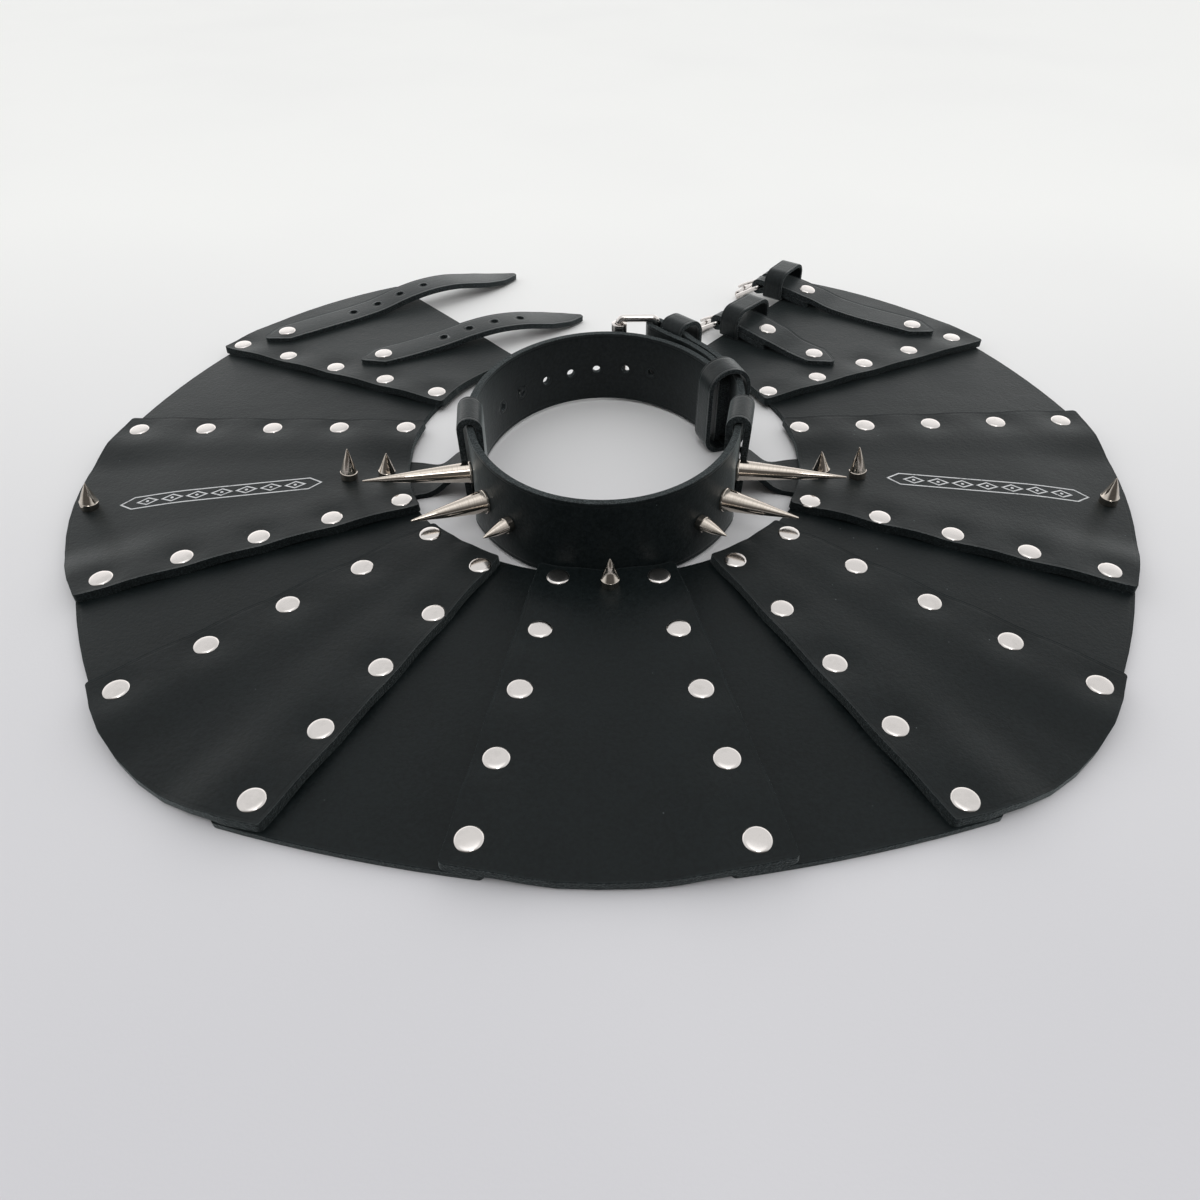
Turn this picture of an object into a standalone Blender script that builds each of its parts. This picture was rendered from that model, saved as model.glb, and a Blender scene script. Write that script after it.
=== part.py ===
"""Black leather gorget: a mantle of riveted plates lying flat round a standing neck collar.

Metres, +Z up, front towards -Y. Driving dimensions are in millimetres and MM turns them into metres.
Plate points are given as (radius, degrees from the front) round the mantle's centre.
"""

import math

import bmesh
import bpy
from mathutils import Matrix, Vector

MM = 0.001

# Mantle: two layers of flat plates round one centre.
MANTLE_Y = 18.6
UNDER_Z = (0.0, 3.0)
UPPER_Z = (3.3, 6.3)
CORNER_RADIUS = 3.0
ARC_STEP = 3.0
GAP = 0.3
SHARP_ANGLE = math.radians(40.0)

# Rivets: five in a row, with a low flat cap.
ROW_COUNT = 5
CAP_FOOT_RADIUS = 5.4
CAP_TOP_RADIUS = 4.3
CAP_HEIGHT = 1.3
CAP_SUNK = 0.8
CAP_SIDES = 12

# Rivet rows on each side as the mantle lies: name, (inner radius, angle), (outer radius, angle).
ROWS_RIGHT = {
    "front": ((110.5, 11.7), (237.0, 11.4)),
    "chest_front": ((112.9, 29.3), (247.2, 28.0)),
    "chest_back": ((114.3, 45.0), (247.6, 46.6)),
    "shoulder_front": ((110.5, 58.6), (236.5, 63.1)),
    "shoulder_back": ((100.5, 93.4), (236.0, 92.4)),
    "rear": ((98.8, 115.2), (231.3, 116.4)),
}
ROWS_LEFT = {
    "front": ((110.0, 10.3), (235.4, 10.6)),
    "chest_front": ((113.7, 27.7), (245.3, 28.1)),
    "chest_back": ((110.5, 44.2), (246.0, 46.8)),
    "shoulder_front": ((108.3, 60.0), (236.3, 63.1)),
    "shoulder_back": ((102.4, 94.8), (239.5, 92.0)),
    "rear": ((101.1, 115.8), (236.5, 115.3)),
}

# Upper plates: name, inner start, inner end, outer end, outer middle, outer start, rivet rows.
UPPER_PLATES = (
    ("chest_plate", (105.0, 25.2), (104.5, 47.0), (253.5, 49.2), (260.0, 38.0), (252.0, 26.0),
     ("chest_front", "chest_back")),
    ("shoulder_plate", (102.7, 55.5), (93.6, 99.0), (247.5, 94.4), (248.0, 79.0), (247.5, 61.4),
     ("shoulder_front", "shoulder_back")),
    ("back_plate", (92.8, 110.8), (94.6, 149.2), (227.6, 143.2), (237.6, 127.5), (244.6, 113.6),
     ("rear",)),
)

# Outer edges that stand out further on the left: plate, outer middle.
LEFT_OUTER_MIDDLES = {"shoulder_plate": (252.5, 77.0)}

# Under plates: name, inner start, inner end, outer end, outer middle, outer start.
UNDER_PLATES = (
    ("front_under", (103.5, 7.6), (104.5, 32.3), (257.0, 30.2), (248.9, 20.2), (245.3, 9.0)),
    ("side_under", (104.5, 41.0), (103.0, 62.7), (247.0, 64.6), (250.6, 54.0), (255.5, 44.6)),
    ("rear_under", (97.5, 91.0), (96.5, 119.0), (241.0, 117.6), (243.6, 104.5), (250.4, 89.6)),
)

# Front plate: radius and angle of its corners, left and right.
FRONT_INNER = ((103.2, -15.8), (103.4, 16.6))
FRONT_OUTER = ((245.6, -12.3), (246.0, 14.0))

# Small cone spikes standing on the mantle.
STUD_RADIUS = 4.0
STUD_FOOT = 3.0
STUD_STEPS = 14
# Name, place on the mantle, lean towards its centre and height.
STUDS = (
    ("spike_front", 2.0, -112.5, 0.0, 14.0),
    ("spike_inner_right", 104.0, -34.5, 7.0, 13.0),
    ("spike_inner_left", -104.8, -32.5, 8.0, 13.0),
    ("spike_middle_right", 120.5, -37.5, 6.5, 16.0),
    ("spike_middle_left", -122.0, -35.5, 7.5, 16.0),
    ("spike_edge_right", 232.0, -57.5, 4.0, 13.5),
    ("spike_edge_left", -238.5, -55.0, 12.0, 13.5),
)

# Collar: one strap along an ellipse, its buckle end laid outside its plain end.
COLLAR_A = 61.5
COLLAR_B = 73.5
COLLAR_Y = -27.0
COLLAR_Z = (1.5, 39.0)
COLLAR_BUCKLE_Z = (4.6, 40.6)
COLLAR_LEAN = 3.8
LEATHER = 3.0
TAIL_ANGLE = 20.7
LAP_ANGLE = 348.0
COLLAR_STEP = 6.0
# How far the buckle end stands out from the ellipse: (angle, outer layer, folded layer).
LAP_OFFSETS = (
    (-12.0, 0.0, None),
    (-6.0, 0.7, None),
    (0.0, 2.0, None),
    (6.0, 3.4, None),
    (12.0, 5.0, None),
    (17.0, 6.3, None),
    (22.0, 7.1, 3.5),
    (30.0, 7.4, 3.8),
    (40.0, 7.9, 4.3),
    (50.0, 8.6, 5.0),
)
HOLE_ANGLES_FROM = 65.5
HOLE_PITCH_ANGLE = 13.9
HOLE_COUNT = 7
HOLE_RADIUS = 2.2
HOLE_Z = (20.0, 16.7)

# Buckle keeper on the collar: its centre and heading also place the fold round the bar.
KEEPER_XY = (41.0, 50.0)
KEEPER_HEADING = 133.0
FOLD_ALONG = 12.0
FOLD_ACROSS = -6.6
FOLD_RADIUS = 3.8
# Layers beside the keeper: (along, outer layer, folded layer), across its heading.
FOLD_LAYERS = (
    (-7.0, -4.9, -10.75),
    (0.0, -4.75, -10.95),
    (7.0, -3.9, -10.8),
)

# Closed loops of leather: width, height, wall, floor, length and corner radius.
KEEPER_WIDTH = 17.8
KEEPER_HEIGHT = 45.0
KEEPER_WALL = 2.2
KEEPER_FLOOR = 1.2
KEEPER_LENGTH = 14.0
KEEPER_CORNER = 5.4
KEEPER_FOOT = 3.0
BIG_KEEPER_WIDTH = 21.8
BIG_KEEPER_CORNER = 10.0
BIG_KEEPER_FOOT = 6.5
BIG_KEEPER_ANGLE = 22.0
BIG_KEEPER_OFFSET = 1.9

# Link loops joining collar and mantle.
LINK_WIDTH = 11.3
LINK_HEIGHT = 43.6
LINK_WALL = 2.5
LINK_LENGTH = 20.0
LINK_CORNER = 5.6
LINK_TAB_Z = (0.0, 2.5)
LINK_TAB = (
    (65.2, -44.6), (70.0, -44.3), (76.0, -42.8), (86.0, -44.3), (95.0, -47.2), (101.5, -46.8),
    (104.5, -43.0), (107.0, -35.0), (107.8, -27.0), (106.5, -21.0), (101.0, -17.6), (93.0, -17.6),
    (84.0, -19.7), (76.0, -23.6), (70.0, -25.2), (65.2, -25.6),
)

# Collar spikes: name, distance forward, base radius, length, height, degrees upward.
COLLAR_SPIKES = (
    ("collar_spike_long", -52.0, 5.0, 48.0, 20.5, 6.0),
    ("collar_spike_medium", -72.0, 5.3, 34.5, 19.5, 6.0),
    ("collar_spike_short", -86.0, 3.5, 15.0, 18.5, 4.0),
)

# Collar buckle.
BUCKLE_WIRE = 1.9
BUCKLE_Z = (2.2, 43.0)
BUCKLE_REACH = 19.5
BUCKLE_CORNER = 2.3
BUCKLE_ROLLER = (2.3, 4.0)
BUCKLE_ROLLER_Z = (4.7, 40.5)
BUCKLE_PRONG_WIRE = 1.2
BUCKLE_PRONG_Z = 22.6
BUCKLE_SLOT = (16.0, 4.4)

# Tongue straps: name, rivet, heading, half width, taper from, tip, holes, centre heights (along, z).
TONGUE_HALF = 9.5
TONGUE_HOLE = 2.2
TONGUES = (
    ("tongue_strap_outer", (-189.5, 111.6), 36.5, 134.0, 161.0, (43.0, 59.5, 75.4, 92.3),
     ((-20.0, 8.1), (25.0, 8.1), (43.0, 8.1), (60.0, 9.0), (75.0, 11.3), (92.0, 12.6), (110.0, 11.5),
      (130.0, 7.2), (150.0, 3.2), (164.0, 1.9))),
    ("tongue_strap_inner", (-126.5, 82.5), 27.9, 104.0, 128.0, (37.0, 53.3, 69.3, 85.8),
     ((-20.0, 8.1), (15.0, 8.1), (37.0, 9.5), (53.0, 11.3), (69.0, 11.9), (86.0, 10.2), (105.0, 6.0),
      (120.0, 3.2), (131.0, 2.0))),
)

# Buckle straps: name, first rivet, heading, distance from it to the bar, extra half width by the keeper,
# keeper's outer half width, its shift to the far side and its top.
BUCKLE_STRAPS = (
    ("outer", (185.8, 113.6), 143.5, 99.8, 0.0, 14.6, 2.6, 23.4),
    ("inner", (120.5, 78.8), 137.0, 62.5, 1.7, 16.2, 3.0, 23.8),
)
STRAP_POINT = 15.5
STRAP_HALF = 9.5
SECOND_RIVET = -29.8
STRAP_END = -13.0
STRAP_UPPER = (
    (-36.0, 11.4), (-30.0, 12.1), (-24.0, 13.1), (-17.0, 13.9), (-10.0, 14.4), (-5.0, 14.6), (0.0, 14.65),
)
STRAP_LOWER = (
    (0.0, 8.55), (-2.5, 9.4), (-5.0, 10.4), (-10.0, 10.6), (-17.0, 10.45), (-24.0, 9.5), (-30.0, 8.5),
    (-36.0, 8.1),
)
STRAP_FOLD_Z = 11.6
STRAP_FOLD_RADIUS = 3.05
STRAP_SLOT = 3.6
STRAP_KEEPER_U = (-17.2, -4.9)
STRAP_KEEPER_Z = 6.65
STRAP_KEEPER_WALL = 1.9
STRAP_KEEPER_CORNER = 7.0

# Closure buckles: bar at the origin, the roller one reach away.
CLOSURE_WIRE = 1.25
CLOSURE_HALF = 11.25
CLOSURE_REACH = 16.5
CLOSURE_CORNER = 1.7
CLOSURE_ROLLER = (1.55, 2.6)
CLOSURE_ROLLER_HALF = 9.35
CLOSURE_ROLLER_Z = 2.7
CLOSURE_PRONG_WIRE = 0.9
CLOSURE_PRONG_RING = 2.45
CLOSURE_TILT = math.asin((STRAP_FOLD_Z - CLOSURE_ROLLER_Z) / CLOSURE_REACH)


def clear_scene():
    for item in list(bpy.data.objects):
        bpy.data.objects.remove(item, do_unlink=True)


def new_collection(name):
    made = bpy.data.collections.new(name)
    bpy.context.scene.collection.children.link(made)
    return made


def new_material(name, colour, metallic, roughness):
    made = bpy.data.materials.new(name)
    made.use_nodes = True
    shader = made.node_tree.nodes["Principled BSDF"]
    shader.inputs["Base Color"].default_value = (*colour, 1.0)
    shader.inputs["Metallic"].default_value = metallic
    shader.inputs["Roughness"].default_value = roughness
    return made


clear_scene()
GORGET = new_collection("leather_gorget")
CUTTERS = new_collection("cutters")
LEATHER_COLOUR = (0.012, 0.013, 0.014)
NICKEL_COLOUR = (0.62, 0.60, 0.57)


def finish_leather(name):
    return new_material(name + "_leather", LEATHER_COLOUR, 0.0, 0.5)


def finish_nickel(name):
    return new_material(name + "_nickel", NICKEL_COLOUR, 1.0, 0.2)


def place(origin, along, up):
    """A matrix with X along, Z up and its origin in millimetres."""
    z_axis = Vector(up).normalized()
    y_axis = z_axis.cross(Vector(along)).normalized()
    x_axis = y_axis.cross(z_axis)
    made = Matrix((x_axis, y_axis, z_axis)).transposed().to_4x4()
    made.translation = Vector(origin) * MM
    return made


def polar(radius, degrees, side=1.0):
    """A mantle point as (x, y): degrees run from the front towards the side given."""
    angle = math.radians(degrees)
    return (side * radius * math.sin(angle), MANTLE_Y - radius * math.cos(angle))


def heading_vector(degrees):
    angle = math.radians(degrees)
    return Vector((math.cos(angle), math.sin(angle), 0.0))


def link(item, home, material=None):
    home.objects.link(item)
    if home is CUTTERS:
        item.hide_render = True
        item.display_type = "WIRE"
    if material is not None:
        item.data.materials.append(material)
    return item


def mesh_object(name, data, home, material=None, matrix=None):
    item = bpy.data.objects.new(name, data)
    if matrix is not None:
        item.matrix_world = matrix
    return link(item, home, material)


def to_mesh(item, name, home, material=None, matrix=None, smooth=False):
    """Turns a curve or a screw into a welded mesh object and removes what it came from."""
    bpy.context.view_layer.update()
    graph = bpy.context.evaluated_depsgraph_get()
    data = bpy.data.meshes.new_from_object(item.evaluated_get(graph))
    work = bmesh.new()
    work.from_mesh(data)
    bmesh.ops.remove_doubles(work, verts=work.verts, dist=1e-6)
    bmesh.ops.recalc_face_normals(work, faces=work.faces)
    work.to_mesh(data)
    work.free()
    if smooth:
        data.shade_smooth()
        data.set_sharp_from_angle(angle=SHARP_ANGLE)
    bpy.data.objects.remove(item, do_unlink=True)
    data.name = name
    return mesh_object(name, data, home, material, matrix)


def sheet(name, outlines, low, high, home, material=None, matrix=None):
    """A flat piece between two levels: the first outline is its edge, the others are holes."""
    data = bpy.data.curves.new(name, "CURVE")
    data.dimensions = "2D"
    data.fill_mode = "BOTH"
    data.extrude = 0.5 * (high - low) * MM
    for outline in outlines:
        spline = data.splines.new("POLY")
        spline.points.add(len(outline) - 1)
        for point, (x, y) in zip(spline.points, outline):
            point.co = (x * MM, y * MM, 0.0, 1.0)
        spline.use_cyclic_u = True
    item = bpy.data.objects.new(name, data)
    GORGET.objects.link(item)
    lift = Matrix.Translation((0.0, 0.0, 0.5 * (low + high) * MM))
    whole = lift if matrix is None else matrix @ lift
    return to_mesh(item, name, home, material, whole)


def wire(name, points, radius, closed, home, material, matrix=None, sides=2):
    """A round wire along points."""
    data = bpy.data.curves.new(name, "CURVE")
    data.dimensions = "3D"
    data.bevel_depth = radius * MM
    data.bevel_resolution = sides
    data.use_fill_caps = not closed
    spline = data.splines.new("POLY")
    spline.points.add(len(points) - 1)
    for point, place_mm in zip(spline.points, points):
        point.co = (*(Vector(place_mm) * MM), 1.0)
    spline.use_cyclic_u = closed
    item = bpy.data.objects.new(name, data)
    GORGET.objects.link(item)
    return to_mesh(item, name, home, material, matrix, smooth=True)


def turned(name, profile, steps, home, material, matrix=None, closed=False):
    """A turned piece: its profile (radius, height) runs down the outer side from the top."""
    data = bpy.data.meshes.new(name)
    work = bmesh.new()
    points = [work.verts.new((radius * MM, 0.0, height * MM)) for radius, height in profile]
    for first, second in zip(points, points[1:]):
        work.edges.new((first, second))
    if closed:
        work.edges.new((points[-1], points[0]))
    work.to_mesh(data)
    work.free()
    item = mesh_object(name, data, GORGET)
    screw = item.modifiers.new("turn", "SCREW")
    screw.steps = steps
    screw.render_steps = steps
    screw.use_merge_vertices = True
    screw.merge_threshold = 0.00005
    return to_mesh(item, name, home, material, matrix, smooth=True)


def combine(item, tool, operation):
    step = item.modifiers.new(operation.lower(), "BOOLEAN")
    step.operation = operation
    step.solver = "EXACT"
    step.object = tool
    return item


def block(name, size, matrix):
    data = bpy.data.meshes.new(name)
    work = bmesh.new()
    bmesh.ops.create_cube(work, size=1.0, matrix=Matrix.Diagonal((*(Vector(size) * MM), 1.0)))
    work.to_mesh(data)
    work.free()
    return mesh_object(name, data, CUTTERS, None, matrix)


def caps(name, places):
    """Rivet caps standing at (x, y, z), as one tool to join to the leather."""
    data = bpy.data.meshes.new(name)
    work = bmesh.new()
    depth = CAP_HEIGHT + CAP_SUNK
    for x, y, z in places:
        middle = Vector((x, y, z + CAP_HEIGHT - 0.5 * depth)) * MM
        bmesh.ops.create_cone(work, cap_ends=True, segments=CAP_SIDES, radius1=CAP_FOOT_RADIUS * MM,
                              radius2=CAP_TOP_RADIUS * MM, depth=depth * MM,
                              matrix=Matrix.Translation(middle))
    work.to_mesh(data)
    work.free()
    return mesh_object(name, data, CUTTERS)


def punches(name, places, radius, reach):
    """Round punches: (centre, axis direction) pairs, as one tool to cut with."""
    data = bpy.data.meshes.new(name)
    work = bmesh.new()
    for centre, axis in places:
        turn = Vector(axis).to_track_quat("Z", "Y").to_matrix().to_4x4()
        turn.translation = Vector(centre) * MM
        bmesh.ops.create_cone(work, cap_ends=True, segments=12, radius1=radius * MM, radius2=radius * MM,
                              depth=reach * MM, matrix=turn)
    work.to_mesh(data)
    work.free()
    return mesh_object(name, data, CUTTERS)


def rounded(points, radii, steps=3):
    """Rounds the corners of a closed outline; a corner with no radius stays."""
    made = []
    count = len(points)
    for index, radius in enumerate(radii):
        corner = Vector(points[index])
        if radius <= 0.0:
            made.append(tuple(corner))
            continue
        back = (Vector(points[index - 1]) - corner).normalized()
        ahead = (Vector(points[(index + 1) % count]) - corner).normalized()
        half = 0.5 * back.angle(ahead)
        reach = radius / math.tan(half)
        centre = corner + (back + ahead).normalized() * (radius / math.sin(half))
        start = corner + back * reach - centre
        end = corner + ahead * reach - centre
        turn = start.angle_signed(end)
        for step in range(steps + 1):
            angle = -turn * step / steps
            made.append((centre.x + start.x * math.cos(angle) - start.y * math.sin(angle),
                         centre.y + start.x * math.sin(angle) + start.y * math.cos(angle)))
    return made


def arc_points(start, end, side):
    """Points from one (radius, angle) to another, the radius changing evenly."""
    count = max(2, math.ceil(abs(end[1] - start[1]) / ARC_STEP))
    made = []
    for step in range(count + 1):
        part = step / count
        radius = start[0] + (end[0] - start[0]) * part
        made.append(polar(radius, start[1] + (end[1] - start[1]) * part, side))
    return made


def bowed_points(start, middle, end, side):
    """An edge through three (radius, angle) points, its radius following a parabola."""
    count = max(2, math.ceil(abs(end[1] - start[1]) / ARC_STEP))
    made = []
    for step in range(count + 1):
        angle = start[1] + (end[1] - start[1]) * step / count
        radius = 0.0
        for point, one, other in ((start, middle, end), (middle, start, end), (end, start, middle)):
            weight = (angle - one[1]) * (angle - other[1]) / ((point[1] - one[1]) * (point[1] - other[1]))
            radius += point[0] * weight
        made.append(polar(radius, angle, side))
    return made


def plate_outline(inner_start, inner_end, outer_end, outer_middle, outer_start, side):
    inner = arc_points(inner_start, inner_end, side)
    outer = bowed_points(outer_end, outer_middle, outer_start, side)
    points = inner + outer
    corners = {0, len(inner) - 1, len(inner), len(points) - 1}
    radii = [CORNER_RADIUS if index in corners else 0.0 for index in range(len(points))]
    return rounded(points, radii)


def row_places(name, side, level):
    rows = ROWS_RIGHT if side > 0.0 else ROWS_LEFT
    (inner_r, inner_a), (outer_r, outer_a) = rows[name]
    first = Vector(polar(inner_r, inner_a, side))
    last = Vector(polar(outer_r, outer_a, side))
    made = []
    for step in range(ROW_COUNT):
        spot = first.lerp(last, step / (ROW_COUNT - 1))
        made.append((spot.x, spot.y, level))
    return made


def build_mantle():
    outline = arc_points(*FRONT_INNER, 1.0)
    outer = arc_points(*reversed(FRONT_OUTER), 1.0)
    corners = {0, len(outline) - 1, len(outline), len(outline) + len(outer) - 1}
    points = outline + outer
    radii = [CORNER_RADIUS if index in corners else 0.0 for index in range(len(points))]
    plate = sheet("front_plate", [rounded(points, radii)], *UPPER_Z, GORGET, finish_leather("front_plate"))
    spots = row_places("front", 1.0, UPPER_Z[1]) + row_places("front", -1.0, UPPER_Z[1])
    combine(plate, caps("front_plate_caps", spots), "UNION")
    for side, word in ((1.0, "right"), (-1.0, "left")):
        for name, *corners, rows in UPPER_PLATES:
            whole = name + "_" + word
            if side < 0.0:
                corners[3] = LEFT_OUTER_MIDDLES.get(name, corners[3])
            edge = plate_outline(*corners, side)
            plate = sheet(whole, [edge], *UPPER_Z, GORGET, finish_leather(whole))
            spots = [spot for row in rows for spot in row_places(row, side, UPPER_Z[1])]
            combine(plate, caps(whole + "_caps", spots), "UNION")
        for name, *corners in UNDER_PLATES:
            whole = name + "_" + word
            edge = plate_outline(*corners, side)
            sheet(whole, [edge], *UNDER_Z, GORGET, finish_leather(whole))


def cone_profile(radius, length, foot):
    return ((0.0, length), (0.35, length - 0.4), (radius, foot), (radius, 0.0), (0.0, 0.0))


def build_studs():
    for name, x, y, lean, height in STUDS:
        angle = math.radians(lean)
        inward = Vector((-x, -y, 0.0)).normalized()
        up = inward * math.sin(angle) + Vector((0.0, 0.0, math.cos(angle)))
        lift = UPPER_Z[1] + GAP + STUD_RADIUS * math.sin(angle)
        matrix = place((x, y + MANTLE_Y, lift), (0.0, 1.0, 0.0), up)
        turned(name, cone_profile(STUD_RADIUS, height, STUD_FOOT), STUD_STEPS, GORGET,
               finish_nickel(name), matrix)


def collar_normal(degrees, a=COLLAR_A, b=COLLAR_B):
    angle = math.radians(degrees)
    return Vector((math.cos(angle) / a, math.sin(angle) / b)).normalized()


def collar_point(degrees, offset, a=COLLAR_A, b=COLLAR_B):
    """A point on the collar's ellipse, moved outward by offset."""
    angle = math.radians(degrees)
    base = Vector((a * math.cos(angle), COLLAR_Y + MANTLE_Y + b * math.sin(angle)))
    return base + collar_normal(degrees, a, b) * offset


def collar_lean(degrees):
    """How far the band's lower edge stands out: on both sides of the front, between it and the links."""
    away = abs((degrees + 90.0 + 180.0) % 360.0 - 180.0)
    share = min(1.0, max(0.0, (72.0 - away) / 12.0)) * min(1.0, away / 30.0)
    return COLLAR_LEAN * share * share * (3.0 - 2.0 * share)


def keeper_point(along, across):
    heading = heading_vector(KEEPER_HEADING)
    outward = heading_vector(KEEPER_HEADING - 90.0)
    centre = Vector((KEEPER_XY[0], KEEPER_XY[1] + MANTLE_Y, 0.0))
    spot = centre + heading * along + outward * across
    return Vector((spot.x, spot.y))


def smooth_path(points, step):
    """Points of a centripetal Catmull-Rom curve through the ones given, about one step apart."""
    padded = [points[0] * 2.0 - points[1], *points, points[-1] * 2.0 - points[-2]]
    made = []
    for a, b, c, d in zip(padded, padded[1:], padded[2:], padded[3:]):
        count = max(1, round((c - b).length / step))
        for index in range(count):
            t = index / count
            made.append(0.5 * ((2.0 * b) + (c - a) * t + (2.0 * a - 5.0 * b + 4.0 * c - d) * t * t
                               + (3.0 * b - a - 3.0 * c + d) * t ** 3))
    made.append(points[-1])
    return made


def collar_path():
    """The collar strap's centre line, from its plain end round to the end of its fold."""
    angles = [TAIL_ANGLE + (LAP_ANGLE - TAIL_ANGLE) * step / 55 for step in range(55)]
    ring = [collar_point(angle, 0.0) for angle in angles]
    leans = [collar_normal(angle) * collar_lean(angle) for angle in angles]
    lap = [collar_point(angle, outer) for angle, outer, _ in LAP_OFFSETS]
    lap += [keeper_point(along, outer) for along, outer, _ in FOLD_LAYERS]
    lap = smooth_path(lap, 5.0)
    fold = []
    for step in range(10):
        angle = math.radians(90.0 - 20.0 * step)
        fold.append(keeper_point(FOLD_ALONG + FOLD_RADIUS * math.cos(angle),
                                 FOLD_ACROSS + FOLD_RADIUS * math.sin(angle)))
    back = [keeper_point(along, folded) for along, _, folded in reversed(FOLD_LAYERS)]
    back += [collar_point(angle, folded) for angle, _, folded in reversed(LAP_OFFSETS) if folded is not None]
    back = smooth_path(back, 5.0)
    return ring, leans, lap, fold, back


def build_collar_band():
    ring, leans, lap, fold, back = collar_path()
    path = [(point, 0.0) for point in ring]
    for index, point in enumerate(lap):
        path.append((point, min(1.0, max(0.0, (index / (len(lap) - 1) - 0.25) / 0.6))))
    path += [(point, 1.0) for point in fold]
    for index, point in enumerate(back):
        path.append((point, min(1.0, max(0.0, 1.0 - (index / (len(back) - 1) - 0.2) / 1.3))))
    data = bpy.data.meshes.new("collar_band")
    work = bmesh.new()
    edges = []
    previous = None
    tops = {}
    for point, rise in path:
        low = COLLAR_Z[0] + (COLLAR_BUCKLE_Z[0] - COLLAR_Z[0]) * rise
        high = COLLAR_Z[1] + (COLLAR_BUCKLE_Z[1] - COLLAR_Z[1]) * rise
        spot = work.verts.new((point.x * MM, point.y * MM, low * MM))
        tops[spot] = high * MM
        if previous is not None:
            edges.append(work.edges.new((previous, spot)))
        previous = spot
    grown = bmesh.ops.extrude_edge_only(work, edges=edges)
    risen = [part for part in grown["geom"] if isinstance(part, bmesh.types.BMVert)]
    heights = {(round(spot.co.x, 7), round(spot.co.y, 7)): high for spot, high in tops.items()}
    for spot in risen:
        spot.co.z = heights[(round(spot.co.x, 7), round(spot.co.y, 7))]
    for spot, lean in zip(tops, leans):
        spot.co.x += lean.x * MM
        spot.co.y += lean.y * MM
    bmesh.ops.recalc_face_normals(work, faces=work.faces)
    work.to_mesh(data)
    work.free()
    band = mesh_object("collar_band", data, GORGET, finish_leather("collar_band"))
    solid = band.modifiers.new("thickness", "SOLIDIFY")
    solid.thickness = LEATHER * MM
    solid.offset = 0.0
    solid.use_even_offset = True
    solid.use_rim = True
    places = []
    for index in range(HOLE_COUNT):
        angle = HOLE_ANGLES_FROM + HOLE_PITCH_ANGLE * index
        point = collar_point(angle, 0.0)
        outward = collar_normal(angle)
        height = HOLE_Z[0] + (HOLE_Z[1] - HOLE_Z[0]) * index / (HOLE_COUNT - 1)
        places.append(((point.x, point.y, height), (outward.x, outward.y, 0.0)))
    combine(band, punches("collar_holes", places, HOLE_RADIUS, 8.0), "DIFFERENCE")
    bar = keeper_point(FOLD_ALONG, FOLD_ACROSS)
    length, height = BUCKLE_SLOT
    slot = place((bar.x, bar.y, BUCKLE_PRONG_Z), heading_vector(KEEPER_HEADING), (0, 0, 1))
    combine(band, block("collar_slot", (length, 13.0, height), slot), "DIFFERENCE")


def loop_outline(half, low, high, corner, foot):
    """A closed loop seen along its opening: round at the top, nearly square at the foot."""
    points = [(-half, low), (half, low), (half, high), (-half, high)]
    return rounded(points, (foot, foot, corner, corner), steps=5)


def loop_matrix(point, heading_degrees):
    """X across the strap, Y up, Z along the strap, at a plan point."""
    along = heading_vector(heading_degrees)
    across = heading_vector(heading_degrees - 90.0)
    made = Matrix((across, Vector((0.0, 0.0, 1.0)), along)).transposed()
    if made.determinant() < 0.0:
        made = Matrix((across, Vector((0.0, 0.0, 1.0)), -along)).transposed()
    made = made.to_4x4()
    made.translation = Vector((point.x, point.y, 0.0)) * MM
    return made


def keeper(name, point, heading_degrees, width, corner, foot, home=GORGET):
    half = 0.5 * width
    outer = loop_outline(half, 0.0, KEEPER_HEIGHT, corner, foot)
    inner = loop_outline(half - KEEPER_WALL, KEEPER_FLOOR, KEEPER_HEIGHT - KEEPER_WALL,
                         corner - KEEPER_WALL, foot - KEEPER_WALL + 0.2)
    return sheet(name, [outer, inner], -0.5 * KEEPER_LENGTH, 0.5 * KEEPER_LENGTH, home,
                 finish_leather(name), loop_matrix(point, heading_degrees))


def build_collar_keepers():
    outward = collar_normal(BIG_KEEPER_ANGLE)
    heading = math.degrees(math.atan2(outward.y, outward.x)) + 90.0
    big = collar_point(BIG_KEEPER_ANGLE, BIG_KEEPER_OFFSET)
    keeper("collar_keeper_inner", big, heading, BIG_KEEPER_WIDTH, BIG_KEEPER_CORNER, BIG_KEEPER_FOOT)
    keeper("collar_keeper_outer", keeper_point(0.0, 0.0), KEEPER_HEADING, KEEPER_WIDTH, KEEPER_CORNER,
           KEEPER_FOOT)


def build_links():
    for side, word in ((1.0, "right"), (-1.0, "left")):
        name = "link_loop_" + word
        near = collar_point(-14.1, 0.0)
        far = collar_point(1.3, 2.2 if side > 0 else 0.0)
        chord = far - near
        heading = math.degrees(math.atan2(chord.y, side * chord.x))
        middle = (near + far) * 0.5 + Vector((0.35, 0.0))
        middle.x *= side
        half = 0.5 * LINK_WIDTH
        outer = loop_outline(half, 0.0, LINK_HEIGHT, LINK_CORNER, 1.5)
        inner = loop_outline(half - LINK_WALL, KEEPER_FLOOR, LINK_HEIGHT - LINK_WALL,
                             LINK_CORNER - LINK_WALL, 0.6)
        loop = sheet(name, [outer, inner], -0.5 * LINK_LENGTH, 0.5 * LINK_LENGTH, GORGET,
                     finish_leather(name), loop_matrix(middle, heading))
        tab = [(side * x, y + MANTLE_Y) for x, y in LINK_TAB]
        combine(loop, sheet(name + "_tab", [tab], LINK_TAB_Z[0] + 0.02, LINK_TAB_Z[1], CUTTERS), "UNION")


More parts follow.
